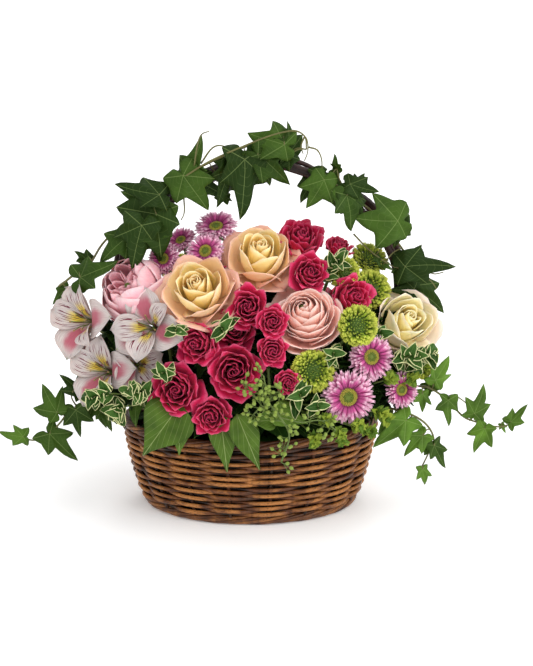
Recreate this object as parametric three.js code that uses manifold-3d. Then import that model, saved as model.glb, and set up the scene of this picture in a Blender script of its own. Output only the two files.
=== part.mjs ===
// A flower basket arrangement: an oval willow basket with a twisted hoop handle, a liner and a block of
// floral foam inside, and cut flowers, ivy and sprigs whose stems stand in holes in the foam.
// Millimetres. +X runs along the basket's long axis, -Y is its front, +Z is up, and the origin is the
// centre of the basket's flat base, on the surface that it stands on.

import * as THREE from "three";
import { mergeVertices } from "three/addons/utils/BufferGeometryUtils.js";
import Module from "manifold-3d";

const wasm = await Module();
wasm.setup();

// ---------------------------------------------------------------- driving dimensions

const GAP = 0.3; // left between two pieces that rest on each other
const BASKET = { halfX: 124, halfY: 84, top: 88, waist: 0.8, bulge: 0.55 };
const WEAVE = { stakes: 18, rows: 19, wall: 7, front: -1.2, behind: 2.2 };
const ROPE = { radius: 4.4, valley: 0.7, turns: 4, sides: 4 };
const BASE = { thickness: 5, inset: 5.9, columns: 28 };
const HANDLE = { rods: 3, rodRadius: 3.3, helix: 4.4, turns: 5, steps: 30, sides: 4, clear: 8.6 };
const LINER = { halfX: 68, halfY: 46, spread: 1.22, top: 62, wall: 2, columns: 16 };
const FOAM = { halfX: 62, halfY: 41, top: 112, columns: 12 };
const STEM = { radius: 1.6, sides: 3, aimHeight: 70, aimShare: 0.35, aimReach: 48, depth: 26, fork: 66 };
const LEAF = 0.8; // thickness of a leaf
const ROUND = 1.08; // what a faceted ball is swollen by, so that its flats hold the ellipsoid
const CLEAR = 0.4; // kept between neighbouring flowers, leaves and stems

// ---------------------------------------------------------------- colours

const FINISH = {
  willow: [0x8a5a33, 0.75],
  rim: [0x7b4c2a, 0.75],
  handle: [0x4a2c24, 0.7],
  liner: [0x2c3a2c, 0.5],
  foam: [0x2f5a34, 0.95],
  apricot: [0xf0c284, 0.6],
  cream: [0xf3deb4, 0.6],
  salmon: [0xe5a595, 0.6],
  pink: [0xe0a2b4, 0.6],
  crimson: [0xb8194c, 0.6],
  lime: [0x9fb436, 0.7],
  magenta: [0xd2669f, 0.6],
  white: [0xf2e6e2, 0.55],
  ivy: [0x2f5527, 0.45],
  variegated: [0x5d7d4c, 0.5],
  eucalyptus: [0x93ab55, 0.6],
  filler: [0xa9b648, 0.6],
  salal: [0x3d7030, 0.4],
};

// ---------------------------------------------------------------- solids

const vector = (x, y, z) => new THREE.Vector3(x, y, z);
const FORWARD = vector(0, -0.92, 0.39); // what most leaves face: out and a little up

function solid(geometry) {
  const bare = geometry.clone();
  bare.deleteAttribute("normal");
  bare.deleteAttribute("uv");
  const merged = mergeVertices(bare, 1e-4);
  const mesh = { numProp: 3, vertProperties: merged.attributes.position.array };
  const triVerts = new Uint32Array(merged.index.array);
  const made = new wasm.Manifold(new wasm.Mesh({ ...mesh, triVerts }));
  if (made.volume() > 0) return made;
  return new wasm.Manifold(new wasm.Mesh({ ...mesh, triVerts: triVerts.slice().reverse() }));
}

function geometryOf(body) {
  const mesh = body.getMesh();
  const geometry = new THREE.BufferGeometry();
  const positions = new THREE.BufferAttribute(new Float32Array(mesh.vertProperties), 3);
  geometry.setAttribute("position", positions);
  geometry.setIndex(new THREE.BufferAttribute(new Uint32Array(mesh.triVerts), 1));
  geometry.computeVertexNormals();
  return geometry;
}

const join = (bodies) => bodies.reduce((whole, body) => whole.add(body));

function largestPiece(body) {
  const pieces = body.decompose();
  return pieces.reduce((best, piece) => (piece.volume() > best.volume() ? piece : best));
}

function indexed(points, triangles) {
  const geometry = new THREE.BufferGeometry();
  geometry.setFromPoints(points);
  geometry.setIndex(triangles);
  return geometry;
}

// A closed band: column i has a loop of points, and both the columns and each loop run full circle.
function band(columns, sides, pointAt) {
  const points = [];
  const triangles = [];
  for (let i = 0; i < columns; i++) {
    for (let j = 0; j < sides; j++) {
      points.push(pointAt(i, j));
      const next = ((i + 1) % columns) * sides;
      const side = (j + 1) % sides;
      triangles.push(i * sides + j, next + j, next + side, i * sides + j, next + side, i * sides + side);
    }
  }
  return solid(indexed(points, triangles));
}

// A closed body of rings round an axis, from its bottom point to its top point.
function ringed(columns, rings, bottom, top, pointAt) {
  const points = [];
  const triangles = [];
  for (let j = 0; j < rings; j++) {
    for (let i = 0; i < columns; i++) points.push(pointAt(i, j));
  }
  points.push(bottom, top);
  const last = (rings - 1) * columns;
  for (let i = 0; i < columns; i++) {
    const next = (i + 1) % columns;
    triangles.push(rings * columns, next, i);
    triangles.push(rings * columns + 1, last + i, last + next);
    for (let j = 0; j < rings - 1; j++) {
      const low = j * columns;
      const high = low + columns;
      triangles.push(low + i, low + next, high + next, low + i, high + next, high + i);
    }
  }
  return solid(indexed(points, triangles));
}

// A thin solid between two layers of points. Each layer is split alike, from its last point, the hub, to the
// rim that the others make, or from the rim's first point where there is no hub.
function fan(top, bottom, hasHub) {
  const triangles = [];
  const layer = top.length;
  const rim = hasHub ? layer - 1 : layer;
  const hub = hasHub ? rim : 0;
  for (let k = 0; k < rim; k++) {
    const next = (k + 1) % rim;
    triangles.push(k, layer + k, layer + next, k, layer + next, next);
    if (hasHub || (k > 0 && next > 0)) triangles.push(hub, k, next, layer + hub, layer + next, layer + k);
  }
  return solid(indexed([...top, ...bottom], triangles));
}

// A route of straight stretches through its points, which meets each of them exactly.
class Route extends THREE.Curve {
  constructor(points) {
    super();
    this.points = points;
  }
  getPoint(share) {
    const stretches = this.points.length - 1;
    const first = Math.min(stretches - 1, Math.floor(share * stretches));
    return this.points[first].clone().lerp(this.points[first + 1], share * stretches - first);
  }
  getPointAt(share) {
    return this.getPoint(share);
  }
  getTangentAt(share) {
    const half = 0.5 / (this.points.length - 1);
    const to = this.getPoint(Math.min(1, share + half));
    return to.sub(this.getPoint(Math.max(0, share - half))).normalize();
  }
}

function tube(points, radius, sides) {
  const corners = [];
  for (let k = 0; k < sides; k++) {
    const angle = (2 * Math.PI * k) / sides;
    corners.push(new THREE.Vector2(radius * Math.cos(angle), radius * Math.sin(angle)));
  }
  const settings = { steps: points.length - 1, extrudePath: new Route(points) };
  return solid(new THREE.ExtrudeGeometry(new THREE.Shape(corners), settings));
}

// The matrix that puts +Z along facing, turned by spin about it, with its origin at centre.
function placement(centre, facing, spin = 0) {
  const z = facing.clone().normalize();
  const x = vector(0, 0, 1).cross(z).normalize();
  const y = z.clone().cross(x);
  const turn = new THREE.Matrix4().makeRotationZ(spin);
  return new THREE.Matrix4().makeBasis(x, y, z).multiply(turn).setPosition(centre);
}

const placed = (body, matrix) => body.transform(matrix.elements);

// ---------------------------------------------------------------- basket

const basketShare = (z) =>
  BASKET.waist + (1 - BASKET.waist) * (Math.max(z, 0) / BASKET.top) ** BASKET.bulge;

// A point of the basket's outline at that height, moved in by inset.
function outline(angle, z, inset) {
  const halfX = BASKET.halfX * basketShare(z);
  const halfY = BASKET.halfY * basketShare(z);
  const normal = vector(Math.cos(angle) / halfX, Math.sin(angle) / halfY, 0).normalize();
  return vector(halfX * Math.cos(angle), halfY * Math.sin(angle), z).addScaledVector(normal, -inset);
}

const FOOT_TOP = GAP + 2 * ROPE.radius;
const RIM_LOW = BASKET.top - 2 * ROPE.radius;

// The side wall: each row of weavers bows out in front of every second stake and runs behind the next, so
// at a stake the wall's outside is a zigzag of one crest for each row.
function wovenWall() {
  const low = FOOT_TOP + GAP;
  const high = RIM_LOW - GAP;
  const rowHeight = (high - low) / WEAVE.rows;
  const section = (stake) => {
    const loop = [[low, WEAVE.behind]];
    for (let row = 0; row < WEAVE.rows; row++) {
      const inset = (stake + row) % 2 ? WEAVE.behind : WEAVE.front;
      loop.push([low + (row + 0.5) * rowHeight, inset]);
    }
    loop.push([high, WEAVE.behind], [high, WEAVE.wall], [low, WEAVE.wall]);
    return loop;
  };
  return band(WEAVE.stakes, section(0).length, (i, j) => {
    const [z, inset] = section(i)[j];
    return outline((2 * Math.PI * i) / WEAVE.stakes, z, inset);
  });
}

// A border of three twisted canes that runs round the basket at height z.
function twistedBorder(z, columns) {
  return band(columns, ROPE.sides, (i, j) => {
    const angle = (2 * Math.PI * i) / columns;
    const turn = (2 * Math.PI * j) / ROPE.sides + ROPE.turns * angle;
    const reach = ROPE.radius * (j % 2 ? ROPE.valley : 1);
    const point = outline(angle, z, ROPE.radius - reach * Math.cos(turn));
    return point.setZ(z + reach * Math.sin(turn));
  });
}

function basketBase() {
  const halfX = BASKET.halfX * BASKET.waist - BASE.inset;
  const halfY = BASKET.halfY * BASKET.waist - BASE.inset;
  const oval = new THREE.Shape(new THREE.EllipseCurve(0, 0, halfX, halfY).getPoints(BASE.columns));
  return solid(new THREE.ExtrudeGeometry(oval, { depth: BASE.thickness, bevelEnabled: false }));
}

const HANDLE_PATH = [
  [-84, 6.8], [-88, 30], [-98, 56], [-105, 86], [-115, 115], [-120, 150], [-123, 200], [-119, 246],
  [-106, 268], [-77, 297], [-32, 323], [12, 336], [47, 325], [74, 311], [107, 292], [126, 264],
  [139, 235], [143, 205], [139, 165], [125, 125], [105, 86], [98, 56], [88, 30], [84, 6.8],
].map(([x, z]) => vector(x, 0, z));

const handleCurve = new THREE.CatmullRomCurve3(HANDLE_PATH, false, "centripetal");

function handleRod(number) {
  const points = [];
  for (let k = 0; k <= HANDLE.steps; k++) {
    const share = k / HANDLE.steps;
    const turn = 2 * Math.PI * (HANDLE.turns * share + number / HANDLE.rods);
    const along = handleCurve.getTangentAt(share);
    const aside = vector(0, 1, 0);
    const out = aside.clone().cross(along).normalize();
    const point = handleCurve.getPointAt(share);
    point.addScaledVector(aside, HANDLE.helix * Math.cos(turn));
    points.push(point.addScaledVector(out, HANDLE.helix * Math.sin(turn)));
  }
  return tube(points, HANDLE.rodRadius, HANDLE.sides);
}

const handleRoom = () => tube(handleCurve.getSpacedPoints(28), HANDLE.clear, 8);

function ovalRing(halfX, halfY, columns, i, z) {
  const angle = (2 * Math.PI * i) / columns;
  return vector(halfX * Math.cos(angle), halfY * Math.sin(angle), z);
}

function linerBowl() {
  const floor = BASE.thickness + GAP;
  const rings = [
    [1, 0, floor], [LINER.spread, 0, LINER.top], [LINER.spread, LINER.wall, LINER.top],
    [1, LINER.wall, floor + LINER.wall],
  ];
  const bottom = vector(0, 0, floor);
  const inside = vector(0, 0, floor + LINER.wall);
  return ringed(LINER.columns, rings.length, bottom, inside, (i, j) => {
    const [spread, inset, z] = rings[j];
    return ovalRing(LINER.halfX * spread - inset, LINER.halfY * spread - inset, LINER.columns, i, z);
  });
}

function foamBlock() {
  const floor = BASE.thickness + LINER.wall + 2 * GAP;
  const rings = [[1, floor], [1, FOAM.top - 34], [0.84, FOAM.top - 12], [0.5, FOAM.top]];
  return ringed(FOAM.columns, rings.length, vector(0, 0, floor), vector(0, 0, FOAM.top), (i, j) => {
    const [share, z] = rings[j];
    return ovalRing(FOAM.halfX * share, FOAM.halfY * share, FOAM.columns, i, z);
  });
}

// ---------------------------------------------------------------- stems

// Every stem runs towards the middle line of the foam, and ends a little short of it.
function stemAim(point) {
  const side = STEM.aimReach * Math.tanh((STEM.aimShare * point.x) / STEM.aimReach);
  return vector(side, 0, STEM.aimHeight);
}

function towardsFoam(point, distance) {
  const aim = stemAim(point);
  return aim.clone().addScaledVector(point.clone().sub(aim).normalize(), distance);
}

// ---------------------------------------------------------------- flowers, facing +Z round their centre

// A flower head in one closed body: whorls of petals whose lips stand up in rings, one inside the next.
// Each row gives the reach and the rise of a ring; the lips, at every second ring, are cut into lobes, and
// those of one whorl stand between those of the next.
function layeredHead(radius, petals, rows, lobe, top) {
  const columns = 2 * petals;
  const bottom = vector(0, 0, -0.66 * radius);
  return ringed(columns, rows.length, bottom, vector(0, 0, top * radius), (i, j) => {
    const [reach, rise] = rows[j];
    const lip = j % 2 === 0 && j > 0;
    const between = (i + j / 2) % 2 === 1;
    const cut = lip && between ? lobe : 0;
    const angle = (2 * Math.PI * (i + (lip ? 0.25 : 0))) / columns;
    const out = radius * reach * (1 - cut);
    return vector(out * Math.cos(angle), out * Math.sin(angle), radius * (rise - 0.5 * cut));
  });
}

function largeRose(radius) {
  const rows = [
    [0.24, -0.52], [0.62, -0.34], [1, 0.02], [0.7, -0.12], [0.74, 0.24], [0.5, 0.04], [0.48, 0.4],
    [0.26, 0.18], [0.24, 0.47],
  ];
  return layeredHead(radius, 6, rows, 0.12, 0.3);
}

function ranunculus(radius) {
  const rows = [
    [0.3, -0.5], [0.72, -0.32], [0.98, 0.08], [0.78, 0.02], [0.8, 0.26], [0.6, 0.16], [0.58, 0.36],
    [0.4, 0.24], [0.36, 0.4], [0.18, 0.2],
  ];
  return layeredHead(radius, 6, rows, 0.09, 0.16);
}

function peony(radius) {
  const rows = [
    [0.2, -0.52], [0.66, -0.36], [1, 0.08], [0.74, -0.06], [0.8, 0.32], [0.56, 0.08], [0.54, 0.46],
    [0.32, 0.02],
  ];
  return layeredHead(radius, 5, rows, 0.15, -0.06);
}

function sprayRose(radius) {
  const rows = [[0.5, -0.36], [0.75, -0.2], [1, 0.06], [0.6, -0.1], [0.62, 0.26], [0.32, 0.06], [0.3, 0.42]];
  return layeredHead(radius, 4, rows, 0.14, 0.26);
}

// An aster: two rows of narrow rays, long and short by turns, round a raised disc.
function aster(radius) {
  const columns = 16;
  const rings = [[0.3, -0.34], [1, 0.12], [0.36, 0.06], [0.26, 0.2]];
  const bottom = vector(0, 0, -0.5 * radius);
  const top = vector(0, 0, 0.2 * radius);
  return ringed(columns, rings.length, bottom, top, (i, j) => {
    const [reach, rise] = rings[j];
    const notch = j === 1 && i % 2 ? 0.62 : 1;
    const lift = j === 2 && i % 2 ? -0.06 : 0;
    const angle = (2 * Math.PI * i) / columns;
    const out = radius * reach * notch;
    return vector(out * Math.cos(angle), out * Math.sin(angle), radius * (rise * notch + lift));
  });
}

// A button chrysanthemum: a flattened ball that is covered by the points of its florets.
function buttonMum(radius) {
  const columns = 8;
  const rings = [[0.5, -0.42], [1, -0.1], [0.92, 0.26], [0.6, 0.5], [0.25, 0.52]];
  const bottom = vector(0, 0, -0.55 * radius);
  const top = vector(0, 0, 0.44 * radius);
  return ringed(columns, rings.length, bottom, top, (i, j) => {
    const floret = (i + j) % 2 ? 1 : 0.84;
    const angle = (2 * Math.PI * i) / columns;
    const out = radius * rings[j][0] * floret;
    return vector(out * Math.cos(angle), out * Math.sin(angle), radius * rings[j][1] * floret);
  });
}

// An alstroemeria: a trumpet that opens into three broad tepals and, between them, three narrow ones.
function alstroemeria(radius) {
  const outlineOf = [0.52, 1, 0.52, 0.88];
  const columns = 3 * outlineOf.length;
  const rings = [[0.12, -0.8], [0.38, -0.24], [1, 0.14], [0.34, -0.02], [0.1, -0.4]];
  const bottom = vector(0, 0, -0.88 * radius);
  const top = vector(0, 0, -0.45 * radius);
  return ringed(columns, rings.length, bottom, top, (i, j) => {
    const [reach, rise] = rings[j];
    const tip = outlineOf[i % outlineOf.length];
    const out = radius * reach * (j === 2 ? tip : 1);
    const up = radius * (j === 2 ? rise * (2 * tip - 1) : rise);
    const angle = (2 * Math.PI * i) / columns;
    return vector(out * Math.cos(angle), out * Math.sin(angle), up);
  });
}

// How far each kind of flower reaches: the half axes of an ellipsoid that holds it, and its middle's height.
const FLOWERS = {
  largeRose: { make: largeRose, wide: 1.05, deep: 0.58, middle: -0.06, back: 0.6 },
  ranunculus: { make: ranunculus, wide: 1.0, deep: 0.58, middle: -0.06, back: 0.6 },
  peony: { make: peony, wide: 1.02, deep: 0.58, middle: -0.06, back: 0.6 },
  sprayRose: { make: sprayRose, wide: 1.02, deep: 0.58, middle: -0.08, back: 0.6 },
  aster: { make: aster, wide: 1.0, deep: 0.5, middle: 0, back: 0.45 },
  buttonMum: { make: buttonMum, wide: 1.0, deep: 0.6, middle: 0.02, back: 0.5 },
  alstroemeria: { make: alstroemeria, wide: 1.0, deep: 0.78, middle: -0.12, back: 0.82 },
};

function flowerRoom(flower, grow) {
  const { wide, deep, middle } = FLOWERS[flower.kind];
  const ball = new THREE.SphereGeometry(1, 8, 4);
  const reach = flower.radius * wide * ROUND + grow;
  ball.rotateX(Math.PI / 2);
  ball.scale(reach, reach, flower.radius * deep * ROUND + grow);
  ball.translate(0, 0, flower.radius * middle);
  return placed(solid(ball), placement(flower.at, flower.face));
}

// ---------------------------------------------------------------- leaves

// Half outlines of a leaf of length 1: x is half its width, y runs from the hub to the tip.
const LEAVES = {
  ivy: { half: [[0, -0.02], [0.36, -0.1], [0.3, 0.12], [0.56, 0.42], [0.24, 0.46], [0, 1]], hub: [0, 0.12] },
  salal: { half: [[0, 0], [0.22, 0.18], [0.3, 0.5], [0.15, 0.84], [0, 1]], hub: [0, 0.4] },
  narrow: { half: [[0, 0], [0.22, 0.45], [0, 1]] },
};

// A thin leaf that folds up along its midrib and droops towards its tip, and narrows to its root, if given.
function leaf({ kind, hub, tip, root, normal = FORWARD, width = 1, fold = 0.14, droop = 0.1 }, grow = 0) {
  const { half, hub: middle } = LEAVES[kind];
  const length = hub.distanceTo(tip);
  const swell = 1 + (3 * grow) / length;
  const along = tip.clone().sub(hub).normalize();
  const across = along.clone().cross(normal).normalize();
  const up = across.clone().cross(along);
  const place = ([x, y]) => {
    const [flatX, flatY] = [x * width * swell, 0.4 + (y - 0.4) * swell];
    const lift = fold * Math.abs(flatX) - droop * flatY * flatY;
    const point = hub.clone().addScaledVector(across, flatX * length);
    return point.addScaledVector(along, flatY * length).addScaledVector(up, lift * length);
  };
  const mirrored = half.slice(1, -1).reverse().map(([x, y]) => [-x, y]);
  const rim = [...half, ...mirrored].map(place);
  if (root) rim[0] = root.clone();
  if (middle) rim.push(place(middle));
  const layers = [0.5, -0.5].map((side) =>
    rim.map((point) => point.clone().addScaledVector(up, side * (LEAF + 2 * grow))));
  return fan(layers[0], layers[1], Boolean(middle));
}

// A vine: its own stem, and leaves whose stalks grow from the nearest point of it.
function vine({ path, leaves, thickness = 1.3 }, grow) {
  const marks = new Route(path).getPoints(8 * path.length);
  const bodies = [tube(path, thickness + grow, 3)];
  for (const spec of leaves) {
    const root = marks.reduce((a, b) => (a.distanceTo(spec.hub) < b.distanceTo(spec.hub) ? a : b));
    bodies.push(leaf({ ...spec, root }, grow));
  }
  return join(bodies);
}

// A leafy sprig: narrow leaves in pairs along a stem, each pair turned a little from the last.
function sprig({ path, pairs, size, width = 1, spread = 0.9, start = 0.25 }, grow) {
  const route = new Route(path);
  const bodies = [tube(path, 1.1 + grow, 3)];
  for (let k = 0; k < pairs; k++) {
    const share = start + ((1 - start) * (k + 0.5)) / pairs;
    const along = route.getTangentAt(share);
    const hub = route.getPoint(share);
    const aside = along.clone().cross(FORWARD).normalize();
    for (const side of [1, -1]) {
      const heading = along.clone().multiplyScalar(0.55 + 0.1 * (k % 3));
      heading.addScaledVector(aside, side * spread);
      heading.addScaledVector(FORWARD, 0.35 * Math.sin(2.4 * k + side)).normalize();
      const tip = hub.clone().addScaledVector(heading, size * (0.85 + 0.15 * Math.sin(1.7 * k)));
      bodies.push(leaf({ kind: "narrow", hub, tip, width, fold: 0.2 }, grow));
    }
  }
  const last = route.getTangentAt(1);
  const hub = path[path.length - 1].clone().addScaledVector(last, -1);
  bodies.push(leaf({ kind: "narrow", hub, tip: hub.clone().addScaledVector(last, size), width }, grow));
  return join(bodies);
}

// A twig of seeds: pointed capsules that stand out all round a thin stem.
function seededTwig({ path, seeds, size }, grow) {
  const route = new Route(path);
  const bodies = [tube(path, 1 + grow, 3)];
  for (let k = 0; k < seeds; k++) {
    const share = 0.25 + (0.72 * (k + 0.5)) / seeds;
    const along = route.getTangentAt(share);
    const turn = 2.4 * k;
    const aside = along.clone().cross(FORWARD).normalize();
    const out = along.clone().cross(aside).multiplyScalar(Math.sin(turn));
    out.addScaledVector(aside, Math.cos(turn));
    const seed = new THREE.OctahedronGeometry(1, 0);
    seed.scale(0.36 * size + grow, 0.36 * size + grow, 0.56 * size + grow);
    const centre = route.getPoint(share).addScaledVector(out, 0.5 * size);
    bodies.push(placed(solid(seed), placement(centre, out.addScaledVector(along, 0.2))));
  }
  return join(bodies);
}

// ---------------------------------------------------------------- what grows where

const at = (...xyz) => vector(...xyz);
const toLeaf = (kind) => ([hub, tip, width, normal]) => ({
  kind,
  hub: vector(...hub),
  tip: vector(...tip),
  width,
  normal: normal ? vector(...normal).normalize() : FORWARD,
});
const ivyLeaves = (rows) => rows.map(toLeaf("ivy"));

const flower = (kind, radius, centre, face) => ({ kind, radius, at: at(...centre), face: at(...face) });

// Flowers, by node; those of one node grow on one branching stem.
const BLOOMS = {
  rose_left: ["apricot", [flower("largeRose", 37, [-46, -58, 226], [-0.15, -0.85, 0.5])]],
  rose_centre: ["apricot", [flower("largeRose", 36, [10, -28, 250], [0.05, -0.72, 0.7])]],
  rose_right: ["cream", [flower("largeRose", 34, [147, -27, 186], [0.32, -0.82, 0.45])]],
  ranunculus: ["salmon", [flower("ranunculus", 34, [53, -66, 200], [-0.1, -0.8, 0.58])]],
  peony: ["pink", [flower("peony", 33, [-109, -30, 221], [-0.42, -0.55, 0.72])]],
  spray_roses_top: [
    "crimson",
    [
      flower("sprayRose", 20, [51, -4, 261], [0.1, -0.7, 0.7]),
      flower("sprayRose", 19, [55, -40, 238], [0.2, -0.85, 0.45]),
      flower("sprayRose", 14, [84, 4, 252], [0.3, -0.3, 0.9]),
    ],
  ],
  spray_roses_middle: [
    "crimson",
    [
      flower("sprayRose", 20, [-1, -72, 214], [-0.1, -0.92, 0.35]),
      flower("sprayRose", 15, [21, -84, 204], [0.15, -0.95, 0.3]),
    ],
  ],
  spray_roses_front: [
    "crimson",
    [
      flower("sprayRose", 21, [-47, -78, 181], [-0.3, -0.93, 0.2]),
      flower("sprayRose", 26, [-13, -86, 159], [0.02, -0.98, 0.15]),
    ],
  ],
  spray_roses_left: [
    "crimson",
    [
      flower("sprayRose", 25, [-66, -84, 139], [-0.4, -0.9, 0.15]),
      flower("sprayRose", 19, [-34, -92, 117], [-0.1, -0.98, -0.1]),
    ],
  ],
  spray_roses_low: [
    "crimson",
    [
      flower("sprayRose", 15, [21, -90, 179], [0.2, -0.96, 0.2]),
      flower("sprayRose", 12, [35, -98, 152], [0.2, -0.96, 0.1]),
    ],
  ],
  spray_rose_right: ["crimson", [flower("sprayRose", 21, [95, -42, 216], [0.45, -0.8, 0.4])]],
  spray_roses_back: [
    "crimson",
    [
      flower("sprayRose", 22, [-30, 66, 206], [-0.2, 0.85, 0.45]),
      flower("sprayRose", 24, [8, 78, 168], [0.05, 0.95, 0.25]),
      flower("sprayRose", 20, [-52, 80, 158], [-0.35, 0.9, 0.2]),
    ],
  ],
  spray_roses_back_right: [
    "crimson",
    [
      flower("sprayRose", 22, [92, 58, 182], [0.5, 0.8, 0.35]),
      flower("sprayRose", 19, [66, 78, 146], [0.3, 0.93, 0.15]),
    ],
  ],
  asters_top: [
    "magenta",
    [
      flower("aster", 21, [-31, 0, 270], [-0.1, -0.45, 0.88]),
      flower("aster", 19, [-40, -22, 253], [-0.25, -0.8, 0.55]),
    ],
  ],
  asters_left: [
    "magenta",
    [
      flower("aster", 16, [-64, 6, 256], [-0.3, -0.5, 0.8]),
      flower("aster", 17, [-79, -12, 243], [-0.4, -0.75, 0.5]),
    ],
  ],
  asters_right: [
    "magenta",
    [
      flower("aster", 26, [89, -88, 135], [0.15, -0.98, 0.12]),
      flower("aster", 23, [110, -68, 166], [0.35, -0.9, 0.3]),
    ],
  ],
  aster_low: ["magenta", [flower("aster", 18, [139, -60, 132], [0.4, -0.9, 0.2])]],
  asters_back: [
    "magenta",
    [
      flower("aster", 24, [28, 50, 232], [0.1, 0.65, 0.75]),
      flower("aster", 22, [-88, 46, 190], [-0.6, 0.7, 0.4]),
    ],
  ],
  mums_top: [
    "lime",
    [
      flower("buttonMum", 17, [119, 6, 238], [0.3, -0.4, 0.87]),
      flower("buttonMum", 15, [88, -18, 236], [0, -0.8, 0.6]),
      flower("buttonMum", 17, [117, -20, 216], [0.15, -0.85, 0.5]),
    ],
  ],
  mum_right: ["lime", [flower("buttonMum", 19, [97, -76, 198], [0.25, -0.9, 0.35])]],
  mum_front: ["lime", [flower("buttonMum", 20, [57, -86, 159], [0.1, -0.97, 0.2])]],
  mum_low: ["lime", [flower("buttonMum", 14, [158, -42, 150], [0.5, -0.8, 0.3])]],
  mums_back: [
    "lime",
    [
      flower("buttonMum", 19, [-66, 36, 222], [-0.4, 0.55, 0.73]),
      flower("buttonMum", 18, [70, 40, 216], [0.4, 0.6, 0.7]),
    ],
  ],
  alstroemeria_upper: [
    "white",
    [
      flower("alstroemeria", 32, [-156, -34, 190], [-0.72, -0.62, 0.3]),
      flower("alstroemeria", 30, [-92, -64, 194], [-0.2, -0.88, 0.42]),
    ],
  ],
  alstroemeria_lower: [
    "white",
    [
      flower("alstroemeria", 30, [-136, -56, 148], [-0.5, -0.82, 0.3]),
      flower("alstroemeria", 24, [-102, -62, 156], [-0.15, -0.95, 0.2]),
    ],
  ],
};

// Vines, by node: a way in from the foam, the vine's own path, and its leaves.
const VINES = {
  ivy_handle_left: {
    path: [[-90, 4, 124], [-146, 14, 168], [-180, 2, 206], [-168, -18, 226], [-149, -18, 239],
      [-133, -15, 262], [-101, -14, 288], [-77, -14, 308], [-50, -14, 327], [-22, -14, 341],
      [12, -13, 355], [37, -14, 364], [50, -14, 359], [52, -16, 347]],
    leaves: [
      [[-156, -27, 230], [-126, -39, 244], 0.9],
      [[-85, -21, 288], [-121, -33, 258], 1.1],
      [[-82, -20, 306], [-120, -23, 312], 0.75],
      [[-60, -21, 324], [-37, -27, 292], 0.95],
      [[-16, -20, 330], [-33, -23, 296], 0.7],
      [[-4, -22, 339], [-2, -31, 289], 0.85],
      [[8, -21, 343], [41, -22, 317], 0.7],
      [[32, -20, 352], [-3, -21, 363], 0.9],
    ],
  },
  ivy_handle_right: {
    path: [[90, 12, 118], [126, 20, 160], [150, 16, 205], [153, 2, 232], [141, -12, 254],
      [119, -14, 283], [95, -14, 303], [74, -14, 317], [58, -14, 322]],
    leaves: [
      [[68, -21, 320], [54, -27, 290], 0.85],
      [[89, -22, 306], [96, -30, 276], 1.0],
      [[92, -20, 316], [118, -23, 306], 0.7],
      [[136, -22, 282], [92, -31, 282], 0.95],
      [[144, -19, 238], [185, -25, 246], 0.8],
      [[150, -15, 216], [183, -29, 192], 0.8],
    ],
  },
  ivy_trail_left: {
    path: [[-84, -27, 96], [-121, -38, 112], [-142, -42, 114], [-167, -42, 105], [-178, -43, 93],
      [-190, -44, 80], [-204, -44, 76], [-216, -44, 80]],
    leaves: [
      [[-162, -49, 108], [-156, -55, 76], 0.95],
      [[-136, -53, 112], [-129, -61, 88], 0.9],
      [[-159, -43, 124], [-177, -45, 148], 0.8],
      [[-180, -47, 105], [-199, -51, 139], 0.85],
      [[-187, -51, 85], [-160, -58, 57], 0.95],
      [[-212, -50, 82], [-238, -53, 84], 0.85],
    ],
  },
  ivy_trail_right: {
    path: [[96, -22, 108], [140, -44, 126], [163, -46, 130], [182, -48, 119], [197, -47, 103],
      [207, -47, 97], [232, -48, 91], [250, -48, 96]],
    leaves: [
      [[172, -51, 138], [191, -53, 166], 0.85],
      [[184, -55, 120], [182, -62, 90], 0.9],
      [[160, -55, 126], [158, -65, 104], 0.8],
      [[209, -53, 106], [222, -57, 140], 0.9],
      [[219, -55, 92], [202, -65, 64], 0.9],
      [[243, -54, 98], [262, -57, 118], 0.8],
    ],
  },
  ivy_trail_low: {
    path: [[84, -34, 98], [122, -54, 112], [148, -60, 108], [164, -62, 98], [171, -62, 83],
      [166, -62, 69], [160, -62, 55]],
    leaves: [
      [[144, -69, 105], [108, -78, 76], 0.8],
      [[160, -69, 90], [136, -77, 70], 0.75],
      [[171, -68, 80], [182, -74, 56], 0.85],
      [[161, -67, 56], [164, -71, 36], 0.85],
    ],
  },
  ivy_back: {
    path: [[-70, 32, 100], [-104, 58, 118], [-132, 66, 118], [-150, 66, 100], [-158, 64, 80]],
    leaves: [
      [[-128, 72, 118], [-118, 82, 86], 0.9, [0, 0.9, 0.4]],
      [[-136, 70, 122], [-160, 66, 146], 0.85, [0, 0.9, 0.4]],
      [[-148, 72, 102], [-176, 70, 96], 0.9, [0, 0.9, 0.4]],
      [[-156, 70, 84], [-146, 76, 56], 0.9, [0, 0.9, 0.4]],
    ],
  },
  ivy_back_right: {
    path: [[72, 31, 100], [106, 58, 116], [134, 64, 112], [150, 62, 92]],
    leaves: [
      [[112, 66, 118], [100, 80, 88], 0.9, [0, 0.9, 0.4]],
      [[134, 70, 114], [160, 66, 138], 0.85, [0, 0.9, 0.4]],
      [[146, 70, 100], [138, 78, 66], 0.9, [0, 0.9, 0.4]],
      [[150, 68, 92], [176, 64, 80], 0.8, [0, 0.9, 0.4]],
    ],
  },
};

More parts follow.
